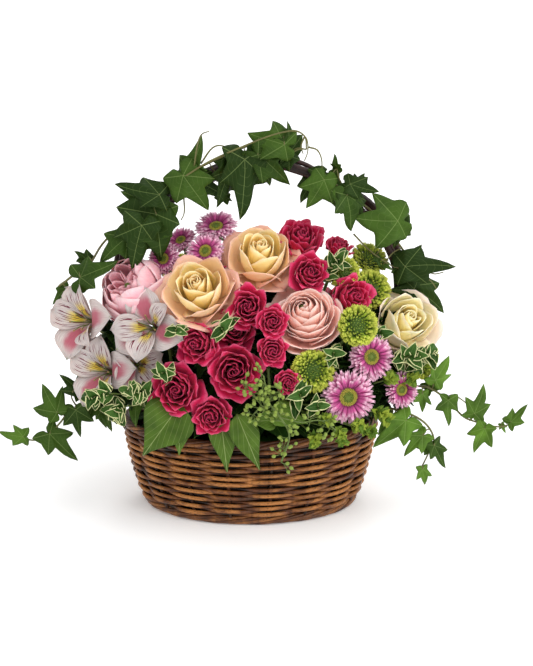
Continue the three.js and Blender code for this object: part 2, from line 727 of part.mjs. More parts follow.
const SALAL = {
  salal_left: {
    path: [[-52, -36, 98], [-66, -76, 102], [-71, -88, 110]],
    leaves: [[[-72, -91, 108], [-97, -98, 82], 1.1], [[-68, -91, 106], [-66, -99, 74], 0.9]],
  },
  salal_front: {
    path: [[-14, -38, 96], [-12, -80, 98], [-11, -89, 100]],
    leaves: [[[-14, -92, 98], [-25, -98, 66], 1.0], [[-8, -92, 98], [9, -98, 68], 0.9]],
  },
  salal_middle: {
    path: [[22, -38, 98], [24, -84, 114]],
    leaves: [[[24, -84, 113], [50, -99, 112], 1.1], [[24, -84, 111], [2, -102, 118], 0.9]],
  },
  salal_back: {
    path: [[-6, 36, 106], [-14, 74, 126], [-18, 84, 122]],
    leaves: [
      [[-18, 82, 122], [-52, 96, 92], 1.0, [0, 0.9, 0.4]],
      [[-18, 84, 122], [-8, 96, 76], 0.9, [0, 0.9, 0.4]],
      [[-16, 80, 124], [24, 96, 98], 0.9, [0, 0.9, 0.4]],
    ],
  },
};

const SPRIGS = {
  variegated_left: { path: [[-62, -34, 112], [-112, -72, 120], [-122, -80, 116]], pairs: 2, size: 20 },
  variegated_top: { path: [[20, -14, 116], [66, -30, 224], [84, -38, 252]], pairs: 2, size: 18 },
  variegated_front: { path: [[30, -38, 112], [56, -92, 128], [62, -106, 132]], pairs: 3, size: 16 },
  variegated_right: {
    path: [[50, -22, 112], [118, -44, 152], [142, -63, 164], [170, -67, 168]],
    pairs: 2,
    size: 20,
  },
  variegated_back: { path: [[30, 34, 112], [46, 80, 188], [44, 90, 202]], pairs: 2, size: 19 },
  filler_right: { path: [[38, -34, 96], [78, -98, 106], [84, -106, 98]], pairs: 3, size: 15, width: 1.4 },
};

const TWIGS = {
  eucalyptus_front: {
    path: [[14, -38, 100], [16, -80, 118], [13, -108, 140], [28, -113, 124], [36, -112, 106],
      [29, -110, 80]],
    seeds: 14,
    size: 9,
  },
};

// ---------------------------------------------------------------- putting it together

const group = new THREE.Group();

function addNode(name, body, finish) {
  const [color, roughness] = FINISH[finish];
  const mesh = new THREE.Mesh(geometryOf(body), new THREE.MeshStandardMaterial({ color, roughness }));
  mesh.name = name;
  group.add(mesh);
}

const toPoints = (path) => path.map((point) => vector(...point));

// A plant is made twice, at its own size and grown by the clearance that its neighbours keep to it.
const plants = [];

function addPlant(name, finish, body, room, stemOf) {
  plants.push({ name, finish, body, room, stem: stemOf(0), stemRoom: stemOf(CLEAR) });
}

for (const [name, [finish, flowers]] of Object.entries(BLOOMS)) {
  const heads = flowers.map((f) =>
    placed(FLOWERS[f.kind].make(f.radius), placement(f.at, f.face, f.at.x)));
  const middle = flowers.reduce((sum, f) => sum.add(f.at), vector(0, 0, 0)).divideScalar(flowers.length);
  const stemOf = (grow) => {
    const end = towardsFoam(middle, STEM.depth - 0.8 * grow);
    const fork = towardsFoam(middle, STEM.fork);
    const stems = flowers.map((f, k) => {
      const axis = f.face.clone().normalize();
      const back = axis.clone().multiplyScalar(-FLOWERS[f.kind].back * f.radius);
      const below = vector(0, 0, -1).addScaledVector(axis, axis.z).normalize();
      const top = f.at.clone().addScaledVector(back, 0.7).addScaledVector(below, 0.2 * f.radius);
      const knee = top.clone().addScaledVector(back, 0.7).lerp(towardsFoam(f.at, STEM.fork), 0.3);
      const points = k === 0 ? [end, fork, knee, top] : [fork, knee, top];
      return tube(points, STEM.radius + grow, STEM.sides);
    });
    return join(stems);
  };
  addPlant(name, finish, join(heads), join(flowers.map((f) => flowerRoom(f, CLEAR))), stemOf);
}

function addGreenery(name, finish, make, path) {
  const [from, to] = toPoints(path);
  const stemOf = (grow) =>
    tube([towardsFoam(from, STEM.depth - 0.8 * grow), from, from.clone().lerp(to, 0.06)],
      STEM.radius + grow, STEM.sides);
  addPlant(name, finish, make(0), make(CLEAR), stemOf);
}

for (const [name, { path, leaves }] of Object.entries(VINES)) {
  const spec = { path: toPoints(path), leaves: ivyLeaves(leaves) };
  addGreenery(name, "ivy", (grow) => vine(spec, grow), path);
}
for (const [name, { path, leaves }] of Object.entries(SALAL)) {
  const spec = { path: toPoints(path), leaves: leaves.map(toLeaf("salal")) };
  addGreenery(name, "salal", (grow) => vine(spec, grow), path);
}
for (const [name, spec] of Object.entries(SPRIGS)) {
  const finish = name.startsWith("filler") ? "filler" : "variegated";
  addGreenery(name, finish, (grow) => sprig({ ...spec, path: toPoints(spec.path) }, grow), spec.path);
}
for (const [name, spec] of Object.entries(TWIGS)) {
  const make = (grow) => seededTwig({ ...spec, path: toPoints(spec.path) }, grow);
  addGreenery(name, "eucalyptus", make, spec.path);
}

const boxesMeet = (a, b) =>
  [0, 1, 2].every((k) => a.min[k] < b.max[k] && b.min[k] < a.max[k]);

function cut(body, tool) {
  return boxesMeet(body.boundingBox(), tool.boundingBox()) ? body.subtract(tool) : body;
}

addNode("basket_base", basketBase(), "willow");
addNode("basket_foot", twistedBorder(GAP + ROPE.radius, 36), "rim");
addNode("basket_wall", wovenWall(), "willow");
addNode("basket_rim", twistedBorder(RIM_LOW + ROPE.radius, 40), "rim");
for (let rod = 0; rod < HANDLE.rods; rod++) {
  addNode(`handle_rod_${rod + 1}`, handleRod(rod), "handle");
}
addNode("liner_bowl", linerBowl(), "liner");

// Each plant keeps clear of the handle, of all other stems and of the plants before it.
const handle = handleRoom();
let foam = foamBlock();
plants.forEach((plant, number) => {
  let body = cut(plant.body, handle);
  plants.forEach((other, k) => {
    if (k === number) return;
    body = cut(body, other.stemRoom);
    if (k < number) body = cut(body, other.room);
  });
  body = body.add(plant.stem);
  plants.slice(0, number).forEach((other) => {
    body = cut(body, other.stemRoom);
  });
  addNode(plant.name, largestPiece(body), plant.finish);
  foam = cut(foam, plant.stemRoom);
});
addNode("foam_block", foam, "foam");

export default group;
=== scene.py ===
"""The looks of a flower basket arrangement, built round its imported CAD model.

Places in the tables are in millimetres, as in the part's source; MM turns them into metres. -Y is the
front, which the flowers face, and +Z is up.
"""

import math
import random
from functools import partial

import bmesh
import bpy
from mathutils import Matrix, Vector, noise


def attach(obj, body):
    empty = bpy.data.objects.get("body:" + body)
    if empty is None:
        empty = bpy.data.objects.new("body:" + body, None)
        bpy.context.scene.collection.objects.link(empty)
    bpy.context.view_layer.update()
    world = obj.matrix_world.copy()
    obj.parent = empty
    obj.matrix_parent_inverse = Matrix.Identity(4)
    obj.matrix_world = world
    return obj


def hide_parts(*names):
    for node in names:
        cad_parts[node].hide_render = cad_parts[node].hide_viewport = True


MM = 0.001
TAU = 2 * math.pi
GOLDEN_ANGLE = math.radians(137.508)
WELD = 1e-3
WHITE = (1.0, 1.0, 1.0, 1.0)

# Each kind of piece draws from seeds of its own, so that it comes out the same in every run.
SEEDS = {"blooms": 1, "vines": 100, "salal": 200, "sprigs": 300, "more_sprigs": 350, "twig": 400,
         "weave": 500, "borders": 600, "handle": 700, "filling": 800, "rim_leaves": 900}

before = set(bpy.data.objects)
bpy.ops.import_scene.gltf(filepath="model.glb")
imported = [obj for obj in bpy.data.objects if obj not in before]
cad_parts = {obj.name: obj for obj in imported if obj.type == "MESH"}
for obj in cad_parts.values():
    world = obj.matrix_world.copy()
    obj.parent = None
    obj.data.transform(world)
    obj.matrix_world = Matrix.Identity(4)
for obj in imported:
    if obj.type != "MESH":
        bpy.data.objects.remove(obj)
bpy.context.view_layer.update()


# ---------------------------------------------------------------- small sums

def mix(a, b, share):
    """The value at a share of the way from a to b."""
    return a + (b - a) * share


def smooth(low, high, x):
    """A smooth step from 0 at low to 1 at high, which may be the smaller of the two."""
    share = min(1.0, max(0.0, (x - low) / (high - low)))
    return share * share * (3 - 2 * share)


def paint(code):
    """The linear colour of a hex code, with alpha 1."""
    parts = [int(code[k:k + 2], 16) / 255 for k in (0, 2, 4)]
    return (*(c / 12.92 if c <= 0.04045 else ((c + 0.055) / 1.055) ** 2.4 for c in parts), 1.0)


def placement(centre, facing, spin=0.0):
    """The matrix that puts +Z along facing, turned by spin about it, with its origin at centre."""
    z = Vector(facing).normalized()
    x = Vector((0, 0, 1)).cross(z).normalized()
    turn = Matrix((x, z.cross(x), z)).transposed().to_4x4()
    return Matrix.Translation(Vector(centre)) @ turn @ Matrix.Rotation(spin, 4, "Z")


def bezier(points, share):
    """The place on a cubic curve with these four points, at a share of its way."""
    back = 1 - share
    weights = (back ** 3, 3 * back * back * share, 3 * back * share * share, share ** 3)
    return [sum(w * p[k] for w, p in zip(weights, points)) for k in range(len(points[0]))]


def smooth_path(points, steps):
    """A smooth line that passes through its points, with so many steps between neighbours."""
    points = [Vector(p) for p in points]
    ends = [points[0] * 2 - points[1], *points, points[-1] * 2 - points[-2]]
    line = []
    for k in range(1, len(ends) - 2):
        before, here, there, after = ends[k - 1:k + 3]
        for step in range(steps):
            t = step / steps
            line.append(0.5 * (2 * here + (there - before) * t
                               + (2 * before - 5 * here + 4 * there - after) * t * t
                               + (3 * here - before - 3 * there + after) * t ** 3))
    return [*line, points[-1]]


# ---------------------------------------------------------------- sheets, rods and pieces

def new_shape():
    """An empty shape with a UV layer, and four numbers for a finish at each corner."""
    shape = bmesh.new()
    shape.loops.layers.uv.new("UVMap")
    shape.verts.layers.float_color.new("tint")
    return shape


def smooth_grid(columns, rows, finish):
    """A flat grid from -1 to 1 both ways, with its UVs laid, and its layer of tints."""
    shape = new_shape()
    uv = shape.loops.layers.uv["UVMap"]
    shade = shape.verts.layers.float_color["tint"]
    bmesh.ops.create_grid(shape, x_segments=columns, y_segments=rows, size=1)
    for face in shape.faces:
        face.smooth = True
        face.material_index = finish
        for loop in face.loops:
            loop[uv].uv = (loop.vert.co.x * 0.5 + 0.5, loop.vert.co.y * 0.5 + 0.5)
    return shape, shade


def sheet(columns, rows, point, tint, thickness, finish=0):
    """A thin closed sheet. point and tint are asked at u from -1 to 1 across and v from 0 to 1 along."""
    shape, shade = smooth_grid(columns, rows, finish)
    for vert in shape.verts:
        u, v = vert.co.x, vert.co.y * 0.5 + 0.5
        vert[shade] = tint(u, v)
        vert.co = point(u, v)
    bmesh.ops.remove_doubles(shape, verts=shape.verts, dist=WELD)
    bmesh.ops.solidify(shape, geom=shape.faces[:], thickness=thickness)
    bmesh.ops.recalc_face_normals(shape, faces=shape.faces)
    return shape


# A way that no rod runs, from which a rod's first side is found.
AWRY = Vector((0.12, 0.31, 0.94))


def rod(points, radius, sides=8, tint=(0.5, 0.5, 0.5, 1.0), finish=0, closed=False):
    """A closed rod along points. radius and tint are constant, or are asked at shares of its length."""
    radius_at = radius if callable(radius) else lambda share: radius
    tint_at = tint if callable(tint) else lambda share: tint
    points = [Vector(p) for p in points]
    count = len(points)
    tangents = []
    for k in range(count):
        if closed:
            tangents.append((points[(k + 1) % (count - 1)] - points[k - 1 if k else -2]).normalized())
        else:
            tangents.append((points[min(k + 1, count - 1)] - points[max(k - 1, 0)]).normalized())
    side = tangents[0].cross(AWRY).normalized()
    frames = []
    for tangent in tangents:
        side = (side - tangent * side.dot(tangent)).normalized()
        frames.append((side, tangent.cross(side)))
    if closed:
        frames[-1] = frames[0]
    shape, shade = smooth_grid(count - 1, sides, finish)
    for vert in shape.verts:
        share, angle = vert.co.x * 0.5 + 0.5, math.pi * vert.co.y
        k = round(share * (count - 1))
        across, up = frames[k]
        reach = radius_at(share)
        vert[shade] = tint_at(share)
        vert.co = points[k] + across * (reach * math.cos(angle)) + up * (reach * math.sin(angle))
    bmesh.ops.remove_doubles(shape, verts=shape.verts, dist=WELD)
    if not closed:
        bmesh.ops.holes_fill(shape, edges=shape.edges, sides=sides)
    bmesh.ops.recalc_face_normals(shape, faces=shape.faces)
    return shape


def as_mesh(shape):
    """A mesh from a shape, which is used up."""
    mesh = bpy.data.meshes.new("part")
    shape.to_mesh(mesh)
    shape.free()
    return mesh


class Piece:
    """One object of the arrangement, gathered from parts in millimetres."""

    def __init__(self, name, finishes, slot, nodes=()):
        self.name = name
        self.finishes = finishes
        self.slot = slot
        self.nodes = nodes
        self.shape = new_shape()

    def add(self, part, matrix=None):
        """Adds a shape, which is used up, or a copy of a mesh."""
        mesh = as_mesh(part) if isinstance(part, bmesh.types.BMesh) else part.copy()
        if matrix is not None:
            mesh.transform(matrix)
        self.shape.from_mesh(mesh)
        bpy.data.meshes.remove(mesh)

    def finish(self):
        """Makes the object, in metres, hangs it from the root body, and hides the solids that it stands for.
        """
        bmesh.ops.scale(self.shape, vec=(MM, MM, MM), verts=self.shape.verts)
        mesh = bpy.data.meshes.new(self.name)
        self.shape.to_mesh(mesh)
        self.shape.free()
        made = bpy.data.objects.new(self.name, mesh)
        for material in self.finishes:
            mesh.materials.append(material)
        bpy.context.scene.collection.objects.link(made)
        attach(made, "root")
        if self.nodes:
            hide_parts(*self.nodes)


# ---------------------------------------------------------------- finishes

# The colour sockets of a Mix node, whose others are for numbers and vectors.
MIX_SHARE, MIX_FIRST, MIX_SECOND, MIX_RESULT = 0, 6, 7, 2


class Finish:
    """A material with a Principled shader, and short names for the nodes that feed it."""

    def __init__(self, name, roughness=0.5, sheen=0.0, specular=0.5, coat=0.0):
        self.material = bpy.data.materials.new(name)
        self.material.use_nodes = True
        self.tree = self.material.node_tree
        self.shader = self.tree.nodes["Principled BSDF"]
        self.shader.inputs["Roughness"].default_value = roughness
        self.shader.inputs["Specular IOR Level"].default_value = specular
        self.shader.inputs["Sheen Weight"].default_value = sheen
        self.shader.inputs["Coat Weight"].default_value = coat
        self.places = self.node("ShaderNodeTexCoord").outputs

    def node(self, kind, **settings):
        made = self.tree.nodes.new(kind)
        for key, value in settings.items():
            setattr(made, key, value)
        return made

    def feed(self, socket, value):
        if isinstance(value, bpy.types.NodeSocket):
            self.tree.links.new(value, socket)
        else:
            socket.default_value = value

    def math(self, operation, a, b=0.0):
        made = self.node("ShaderNodeMath", operation=operation)
        self.feed(made.inputs[0], a)
        self.feed(made.inputs[1], b)
        return made.outputs[0]

    def step(self, value, low, high, to_low=0.0, to_high=1.0):
        """A smooth step of value from to_low at low to to_high at high."""
        made = self.node("ShaderNodeMapRange", interpolation_type="SMOOTHSTEP")
        for socket, number in zip(made.inputs, (value, low, high, to_low, to_high)):
            self.feed(socket, number)
        return made.outputs[0]

    def blend(self, share, a, b, how="MIX"):
        made = self.node("ShaderNodeMix", data_type="RGBA", blend_type=how)
        self.feed(made.inputs[MIX_SHARE], share)
        self.feed(made.inputs[MIX_FIRST], a)
        self.feed(made.inputs[MIX_SECOND], b)
        return made.outputs[MIX_RESULT]

    def ramp(self, share, *stops):
        """A ramp through colours, each with its place."""
        made = self.node("ShaderNodeValToRGB")
        elements = made.color_ramp.elements
        while len(elements) < len(stops):
            elements.new(0.5)
        for element, (place, colour) in zip(elements, stops):
            element.position = place
            element.color = colour
        self.feed(made.inputs[0], share)
        return made.outputs[0]

    def tint(self):
        """The four numbers that a part's corners carry."""
        made = self.node("ShaderNodeAttribute", attribute_name="tint")
        split = self.node("ShaderNodeSeparateColor")
        self.tree.links.new(made.outputs["Color"], split.inputs[0])
        return (*split.outputs[:3], made.outputs["Alpha"])

    def noise(self, scale, detail=3.0, stretch=None, over="Object"):
        """Mottling, over the object or stretched along its own UVs."""
        made = self.node("ShaderNodeTexNoise")
        made.inputs["Scale"].default_value = scale
        made.inputs["Detail"].default_value = detail
        where = self.places[over]
        if stretch:
            mapping = self.node("ShaderNodeMapping")
            mapping.inputs["Scale"].default_value = stretch
            self.tree.links.new(where, mapping.inputs[0])
            where = mapping.outputs[0]
        self.tree.links.new(where, made.inputs["Vector"])
        return made.outputs["Fac"]

    def let_light_in(self, share=0.2, depth=2 * MM):
        """Light that enters a petal spreads in it, so that its shadows stay soft and warm."""
        self.shader.inputs["Subsurface Weight"].default_value = share
        self.shader.inputs["Subsurface Radius"].default_value = (1.0, 0.6, 0.45)
        self.shader.inputs["Subsurface Scale"].default_value = depth

    def coat_with(self, colour, bump=None, strength=0.3, depth=0.5 * MM, roughness=None):
        """The finished material, with its colour and its relief."""
        self.feed(self.shader.inputs["Base Color"], colour)
        if bump is not None:
            made = self.node("ShaderNodeBump")
            made.inputs["Strength"].default_value = strength
            made.inputs["Distance"].default_value = depth
            self.tree.links.new(bump, made.inputs["Height"])
            self.tree.links.new(made.outputs[0], self.shader.inputs["Normal"])
        if roughness is not None:
            self.feed(self.shader.inputs["Roughness"], roughness)
        return self.material


# Where a petal's deeper base, partly painted shade, gives way to its body.
BASE_AND_SHADE_ENDS = 0.55


def petal_finish(name, heart, middle, outer, lips, base, vein, lip_from=0.82, lip_share=0.7):
    """Petals from the heart's colour to the outer ones', with lips of their own, and a base painted deeper:
    partly the petal's own colour, partly painted shade where the petals overlap.
    """
    finish = Finish(name, sheen=0.1, specular=0.25)
    finish.let_light_in()
    along, layer, chance, _ = finish.tint()
    body = finish.ramp(layer, (0.0, paint(heart)), (0.5, paint(middle)), (0.85, paint(outer)))
    # Towards its base a petal is painted deeper: partly its own colour, partly painted shade where the petals
    # overlap.
    body = finish.blend(finish.step(along, BASE_AND_SHADE_ENDS, 0.1), body, paint(base))
    lip = finish.blend(finish.step(layer, 0.35, 0.8), paint(lips[0]), paint(lips[1]))
    body = finish.blend(finish.step(along, lip_from, 1.0, 0.0, lip_share), body, lip)
    streaks = finish.noise(9.0, 4.0, stretch=(9.0, 1.0, 1.0), over="UV")
    dulled = finish.blend(finish.step(streaks, 0.35, 0.75, 0.0, vein), body, paint(base))
    light = finish.step(chance, 0.0, 1.0, 0.93, 1.06)
    mottled = finish.blend(1.0, dulled, light, how="MULTIPLY")
    return finish.coat_with(mottled, bump=streaks, strength=0.2, depth=0.4 * MM)


VEIN_SLANT = 6.0


def leaf_finish(name, dark, fresh, vein, edge=None, roughness=0.42, vein_width=0.02, fine_veins=0.3,
                ribs=7.0, main_veins=0.55):
    """A leaf with paler veins. Its corners carry the way along, the way from a main vein, and the edge."""
    finish = Finish(name, roughness=roughness, specular=0.12)
    along, aside, chance, rim = finish.tint()
    patches = finish.noise(55.0, 3.0)
    body = finish.blend(finish.step(chance, 0.0, 1.0), paint(dark), paint(fresh))
    body = finish.blend(finish.step(patches, 0.35, 0.7, 0.0, 0.5), body, paint(dark))
    branches = finish.math("SUBTRACT", finish.math("MULTIPLY", along, ribs),
                           finish.math("MULTIPLY", aside, VEIN_SLANT))
    waves = finish.math("ABSOLUTE", finish.math("SINE", finish.math("MULTIPLY", branches, math.pi)))
    body = finish.blend(finish.step(waves, 0.16, 0.02, 0.0, fine_veins), body, paint(vein))
    main = finish.step(aside, vein_width, 0.3 * vein_width, 0.0, main_veins)
    body = finish.blend(main, body, paint(vein))
    if edge:
        margin = finish.math("ADD", rim, finish.math("MULTIPLY", finish.noise(260.0, 1.0), 0.3))
        body = finish.blend(finish.step(margin, 0.95, 1.03), body, paint(edge))
    relief = finish.math("ADD", finish.math("MULTIPLY", waves, 0.5 * fine_veins), patches)
    return finish.coat_with(body, bump=relief, strength=0.35, depth=0.6 * MM)


def stem_finish(name, pale, dark):
    """A green or woody stem, mottled from pale to dark."""
    finish = Finish(name)
    colour = finish.blend(finish.noise(60.0, 3.0), paint(pale), paint(dark))
    return finish.coat_with(colour, bump=finish.noise(400.0), strength=0.2)


def willow_finish(name, pale, mid, dark, roughness=0.42):
    """A peeled rod in a brown of its own, with streaks along it; painted shade darkens it where it runs
    behind a stake, and a painted highlight lightens it where it bows out in front.
    """
    finish = Finish(name, roughness=roughness, specular=0.35, coat=0.04)
    _, bow, chance, _ = finish.tint()
    streaks = finish.noise(14.0, 5.0, stretch=(14.0, 0.6, 1.0), over="UV")
    patches = finish.noise(70.0, 4.0)
    share = finish.math("ADD", finish.math("MULTIPLY", chance, 0.4), finish.math("MULTIPLY", patches, 1.2))
    # The second number is the rod's bow: painted highlight where it bows out, painted shade where it runs
    # behind a stake.
    share = finish.math("ADD", share, finish.math("MULTIPLY", bow, 0.55))
    share = finish.math("SUBTRACT", share, 0.58)
    body = finish.ramp(share, (0.15, paint(dark)), (0.5, paint(mid)), (0.85, paint(pale)))
    body = finish.blend(finish.step(streaks, 0.48, 0.68, 0.0, 0.65), body, paint(dark))
    grain = finish.math("ADD", finish.math("MULTIPLY", streaks, 0.6), patches)
    gloss = finish.step(patches, 0.3, 0.7, roughness - 0.1, roughness + 0.15)
    return finish.coat_with(body, bump=grain, strength=0.4, depth=0.7 * MM, roughness=gloss)


# The blade is painted a grey white, which is painted shade for the shadow that the flowers lie in; the other
# marks are the tepals' own.
TEPAL_COLOURS = {
    "blade": "d2c9c4", "veins": "a58c90", "field": "efd23e", "dashes": "6a1530",
    "blotch": "b03a58", "green tip": "8fae4a", "throat": "c4566e",
}


def tepal_finish(name, streaked):
    """An alstroemeria's tepal: white with a pink blotch, or with a yellow field and dark dashes."""
    finish = Finish(name, sheen=0.1, specular=0.25)
    finish.let_light_in()
    colour = {part: paint(code) for part, code in TEPAL_COLOURS.items()}
    along, _, chance, aside = finish.tint()
    veins = finish.noise(7.0, 3.0, stretch=(10.0, 1.0, 1.0), over="UV")
    body = finish.blend(finish.step(veins, 0.35, 0.7, 0.0, 0.6), colour["blade"], colour["veins"])
    wander = finish.math("ADD", aside, finish.math("MULTIPLY", finish.noise(120.0, 2.0), 0.4))
    if streaked:
        field = finish.math("MULTIPLY", finish.step(along, 0.25, 0.42), finish.step(along, 0.74, 0.52))
        field = finish.math("MULTIPLY", field, finish.step(wander, 0.75, 0.4))
        body = finish.blend(finish.math("MULTIPLY", field, 0.95), body, colour["field"])
        dashes = finish.noise(2.6, 0.0, stretch=(13.0, 1.3, 1.0), over="UV")
        dashes = finish.step(dashes, 0.57, 0.62)
        zone = finish.math("MULTIPLY", finish.step(along, 0.25, 0.4), finish.step(along, 0.9, 0.8))
        zone = finish.math("MULTIPLY", zone, finish.step(aside, 0.95, 0.75))
        body = finish.blend(finish.math("MULTIPLY", dashes, zone), body, colour["dashes"])
        throat = finish.step(along, 0.3, 0.12)
    else:
        blotch = finish.math("MULTIPLY", finish.step(along, 0.3, 0.5), finish.step(along, 0.97, 0.76))
        blotch = finish.math("MULTIPLY", blotch, finish.step(wander, 0.8, 0.45))
        body = finish.blend(finish.math("MULTIPLY", blotch, 0.85), body, colour["blotch"])
        tip = finish.math("MULTIPLY", finish.step(along, 0.95, 1.0), finish.step(aside, 0.3, 0.1))
        body = finish.blend(tip, body, colour["green tip"])
        throat = finish.step(along, 0.35, 0.15)
    body = finish.blend(throat, body, colour["throat"])
    light = finish.step(chance, 0.0, 1.0, 0.96, 1.04)
    mottled = finish.blend(1.0, body, light, how="MULTIPLY")
    return finish.coat_with(mottled, bump=veins, strength=0.3, depth=0.4 * MM)


def floret_finish(name, base, body, tip, tip_from=0.6):
    """Rays or florets that lighten towards their tips."""
    finish = Finish(name, roughness=0.55, sheen=0.1, specular=0.3)
    along, layer, chance, _ = finish.tint()
    colour = finish.blend(finish.step(along, 0.0, 0.5), paint(base), paint(body))
    share = finish.math("ADD", along, finish.math("MULTIPLY", finish.math("SUBTRACT", layer, 0.5), 0.5))
    colour = finish.blend(finish.step(share, tip_from, 1.05), colour, paint(tip))
    light = finish.step(chance, 0.0, 1.0, 0.75, 1.1)
    colour = finish.blend(1.0, colour, light, how="MULTIPLY")
    return finish.coat_with(colour, bump=finish.noise(500.0, 2.0), strength=0.15)


APRICOT = petal_finish(
    "apricot_petals", "fecb60", "ffe79e", "fdceb8", ("fdeac0", "f5b6aa"), "fac890", vein=0.06)
CREAM = petal_finish("cream_petals", "ffdc60", "fff4c0", "ffeede", ("fffadc", "ffe2da"), "ffe896", vein=0.05)
SALMON = petal_finish(
    "salmon_petals", "fcbcac", "fdc8ba", "fdcabe", ("fedacf", "fee4da"), "f8ab9c", vein=0.06)
PEONY_PINK = petal_finish(
    "peony_petals", "f4a4b0", "f6b2bc", "f6b8c0", ("f8c8ce", "fce2e2"), "ea889c", vein=0.35)
# Crimson's heart and base are painted darkest: partly its own deeper red, partly painted shade deep between
# the petals.
CRIMSON = petal_finish(
    "crimson_petals", "88042e", "cc124a", "dc245e", ("e04070", "ee6890"), "660422", vein=0.3, lip_from=0.86,
    lip_share=0.6)
TEPAL_BLOTCHED = tepal_finish("alstroemeria_outer_tepals", streaked=False)
TEPAL_STREAKED = tepal_finish("alstroemeria_inner_tepals", streaked=True)
ASTER_RAY = floret_finish("aster_rays", "84205a", "c65090", "f6c6da", tip_from=0.5)
ASTER_DISC = floret_finish("aster_disc", "5a7222", "868e30", "a59c3c", tip_from=0.7)
LIME = floret_finish("lime_florets", "3e6016", "90a82a", "c9d04e", tip_from=0.62)
ANTHER = floret_finish("anthers", "8a6a3a", "a98a55", "c9b285")
IVY = leaf_finish(
    "ivy_leaves", "1f330b", "6a9232", "9cb26a", roughness=0.55, fine_veins=0.1, main_veins=0.32)
SALAL = leaf_finish("salal_leaves", "20350e", "668630", "a9b777", vein_width=0.016, fine_veins=0.3, ribs=4.0)
FOLIAGE = leaf_finish("shaded_leaves", "16290c", "2f521b", "5f8040", roughness=0.5, fine_veins=0.16)
VARIEGATED = leaf_finish(
    "variegated_leaves", "21400f", "466c2c", "7d9c54", edge="dcdca2", roughness=0.48, fine_veins=0.15)
FILLER = leaf_finish("filler_leaves", "4c6c1c", "93a436", "b9c468", roughness=0.55)
SEED = floret_finish("eucalyptus_seeds", "54692a", "84993e", "b8be66", tip_from=0.85)
STEM = stem_finish("green_stems", "788c40", "465c24")
VINE = stem_finish("vine_stems", "7a7a3e", "4c4424")
WILLOW = willow_finish("willow_rods", "b4763c", "663818", "1c0c04")
BORDER = willow_finish("border_rods", "a06836", "5c3316", "1e0d05")
BARK = willow_finish("handle_twigs", "7d534b", "4a2c28", "22110e", roughness=0.5)


def liner_finish():
    """The bowl's dark green plastic."""
    finish = Finish("green_liner", roughness=0.45)
    colour = finish.blend(finish.noise(30.0), paint("1f2b1f"), paint("2f3f30"))
    return finish.coat_with(colour, bump=finish.noise(90.0), strength=0.15)


def shade_lining_finish():
    """A near-black sheet inside the weave, painted dark as painted shade for the gaps between its rods."""
    finish = Finish("painted_shade_lining", roughness=0.7, specular=0.2)
    colour = finish.blend(finish.noise(40.0), paint("0e0703"), paint("1d110a"))
    return finish.coat_with(colour, bump=finish.noise(120.0), strength=0.2)


def foam_finish():
    """Wet floral foam, dark green and full of fine pores."""
    finish = Finish("wet_foam", roughness=0.9)
    colour = finish.blend(finish.noise(250.0, 6.0), paint("1c3a20"), paint("3c6a3e"))
    return finish.coat_with(colour, bump=finish.noise(900.0, 4.0), strength=0.8, depth=1.0 * MM)


# ---------------------------------------------------------------- heads of flowers, facing +Z

# How far a petal's two sides lie one above the other, and how round its lip is.
SPIRAL, LIP_ARCH = 0.04, 2.4


def cupped_petal(angle, half_width, profile, radius, layer, chance, roll, ruffle, drop, point=0.0,
                 columns=8, rows=8, thickness=0.4):
    """A petal that wraps round the axis. profile has four (reach, rise) pairs from base to lip."""
    lean = math.sin(37 * chance)

    def place(u, v):
        edge = min(1.0, abs(u - 0.12 * lean * (1 - u * u)))
        up = v * (1 - drop * edge ** LIP_ARCH + point * (1 - edge) ** 3 * v)
        reach, rise = bezier(profile, min(up, 1.0))
        over = max(0.0, up - 1.0)
        curl = roll * smooth(0.66, 1.0, v) * (0.55 + 0.45 * edge ** 2)
        reach += curl + SPIRAL * u + over * 0.7
        rise += over * 0.5 - 0.9 * curl * smooth(0.74, 1.0, v)
        wave = ruffle * v * v * math.sin((2.6 + 2 * chance) * u + 9 * chance)
        where = angle + u * half_width * (0.42 + 0.58 * math.sin(math.pi * min(1.0, 0.12 + 0.6 * v)))
        crease = 1.4 * ruffle * v * noise.noise(Vector((2.2 * u + 9 * chance, 2 * v, layer * 7)))
        reach = max(0.004, reach + wave + crease)
        return Vector((radius * reach * math.cos(where), radius * reach * math.sin(where),
                       radius * (rise + 0.7 * wave)))

    def tint(u, v):
        return (v, layer, chance, abs(u))

    return sheet(columns, rows, place, tint, thickness)


# Petals in whorls, from the heart out: how many, their lips' first and last reach, then first and last
# rise, half the angle that one wraps, how far its lip rolls back, and how much lower its sides end.
ROSE = [
    (5, 0.05, 0.14, 0.52, 0.58, 125, 0.0, 0.1),
    (5, 0.19, 0.32, 0.58, 0.6, 86, 0.015, 0.22),
    (5, 0.4, 0.54, 0.56, 0.5, 68, 0.05, 0.32),
    (5, 0.63, 0.77, 0.42, 0.28, 58, 0.11, 0.4),
    (5, 0.85, 0.98, 0.16, -0.05, 52, 0.17, 0.42),
]
SPRAY_ROSE = [
    (6, 0.05, 0.17, 0.36, 0.4, 100, 0.0, 0.14),
    (8, 0.21, 0.38, 0.41, 0.41, 60, 0.02, 0.3),
    (9, 0.42, 0.6, 0.39, 0.31, 50, 0.05, 0.38),
    (9, 0.65, 0.97, 0.26, -0.04, 44, 0.12, 0.42),
]


def whorled_petals(whorls):
    """Each petal's layer from 0 at the heart to 1, its place in the whorl's ranges, and its whorl."""
    count = sum(whorl[0] for whorl in whorls)
    number = 0
    for whorl in whorls:
        for k in range(whorl[0]):
            yield number, number / (count - 1), k / max(1, whorl[0] - 1), whorl
            number += 1


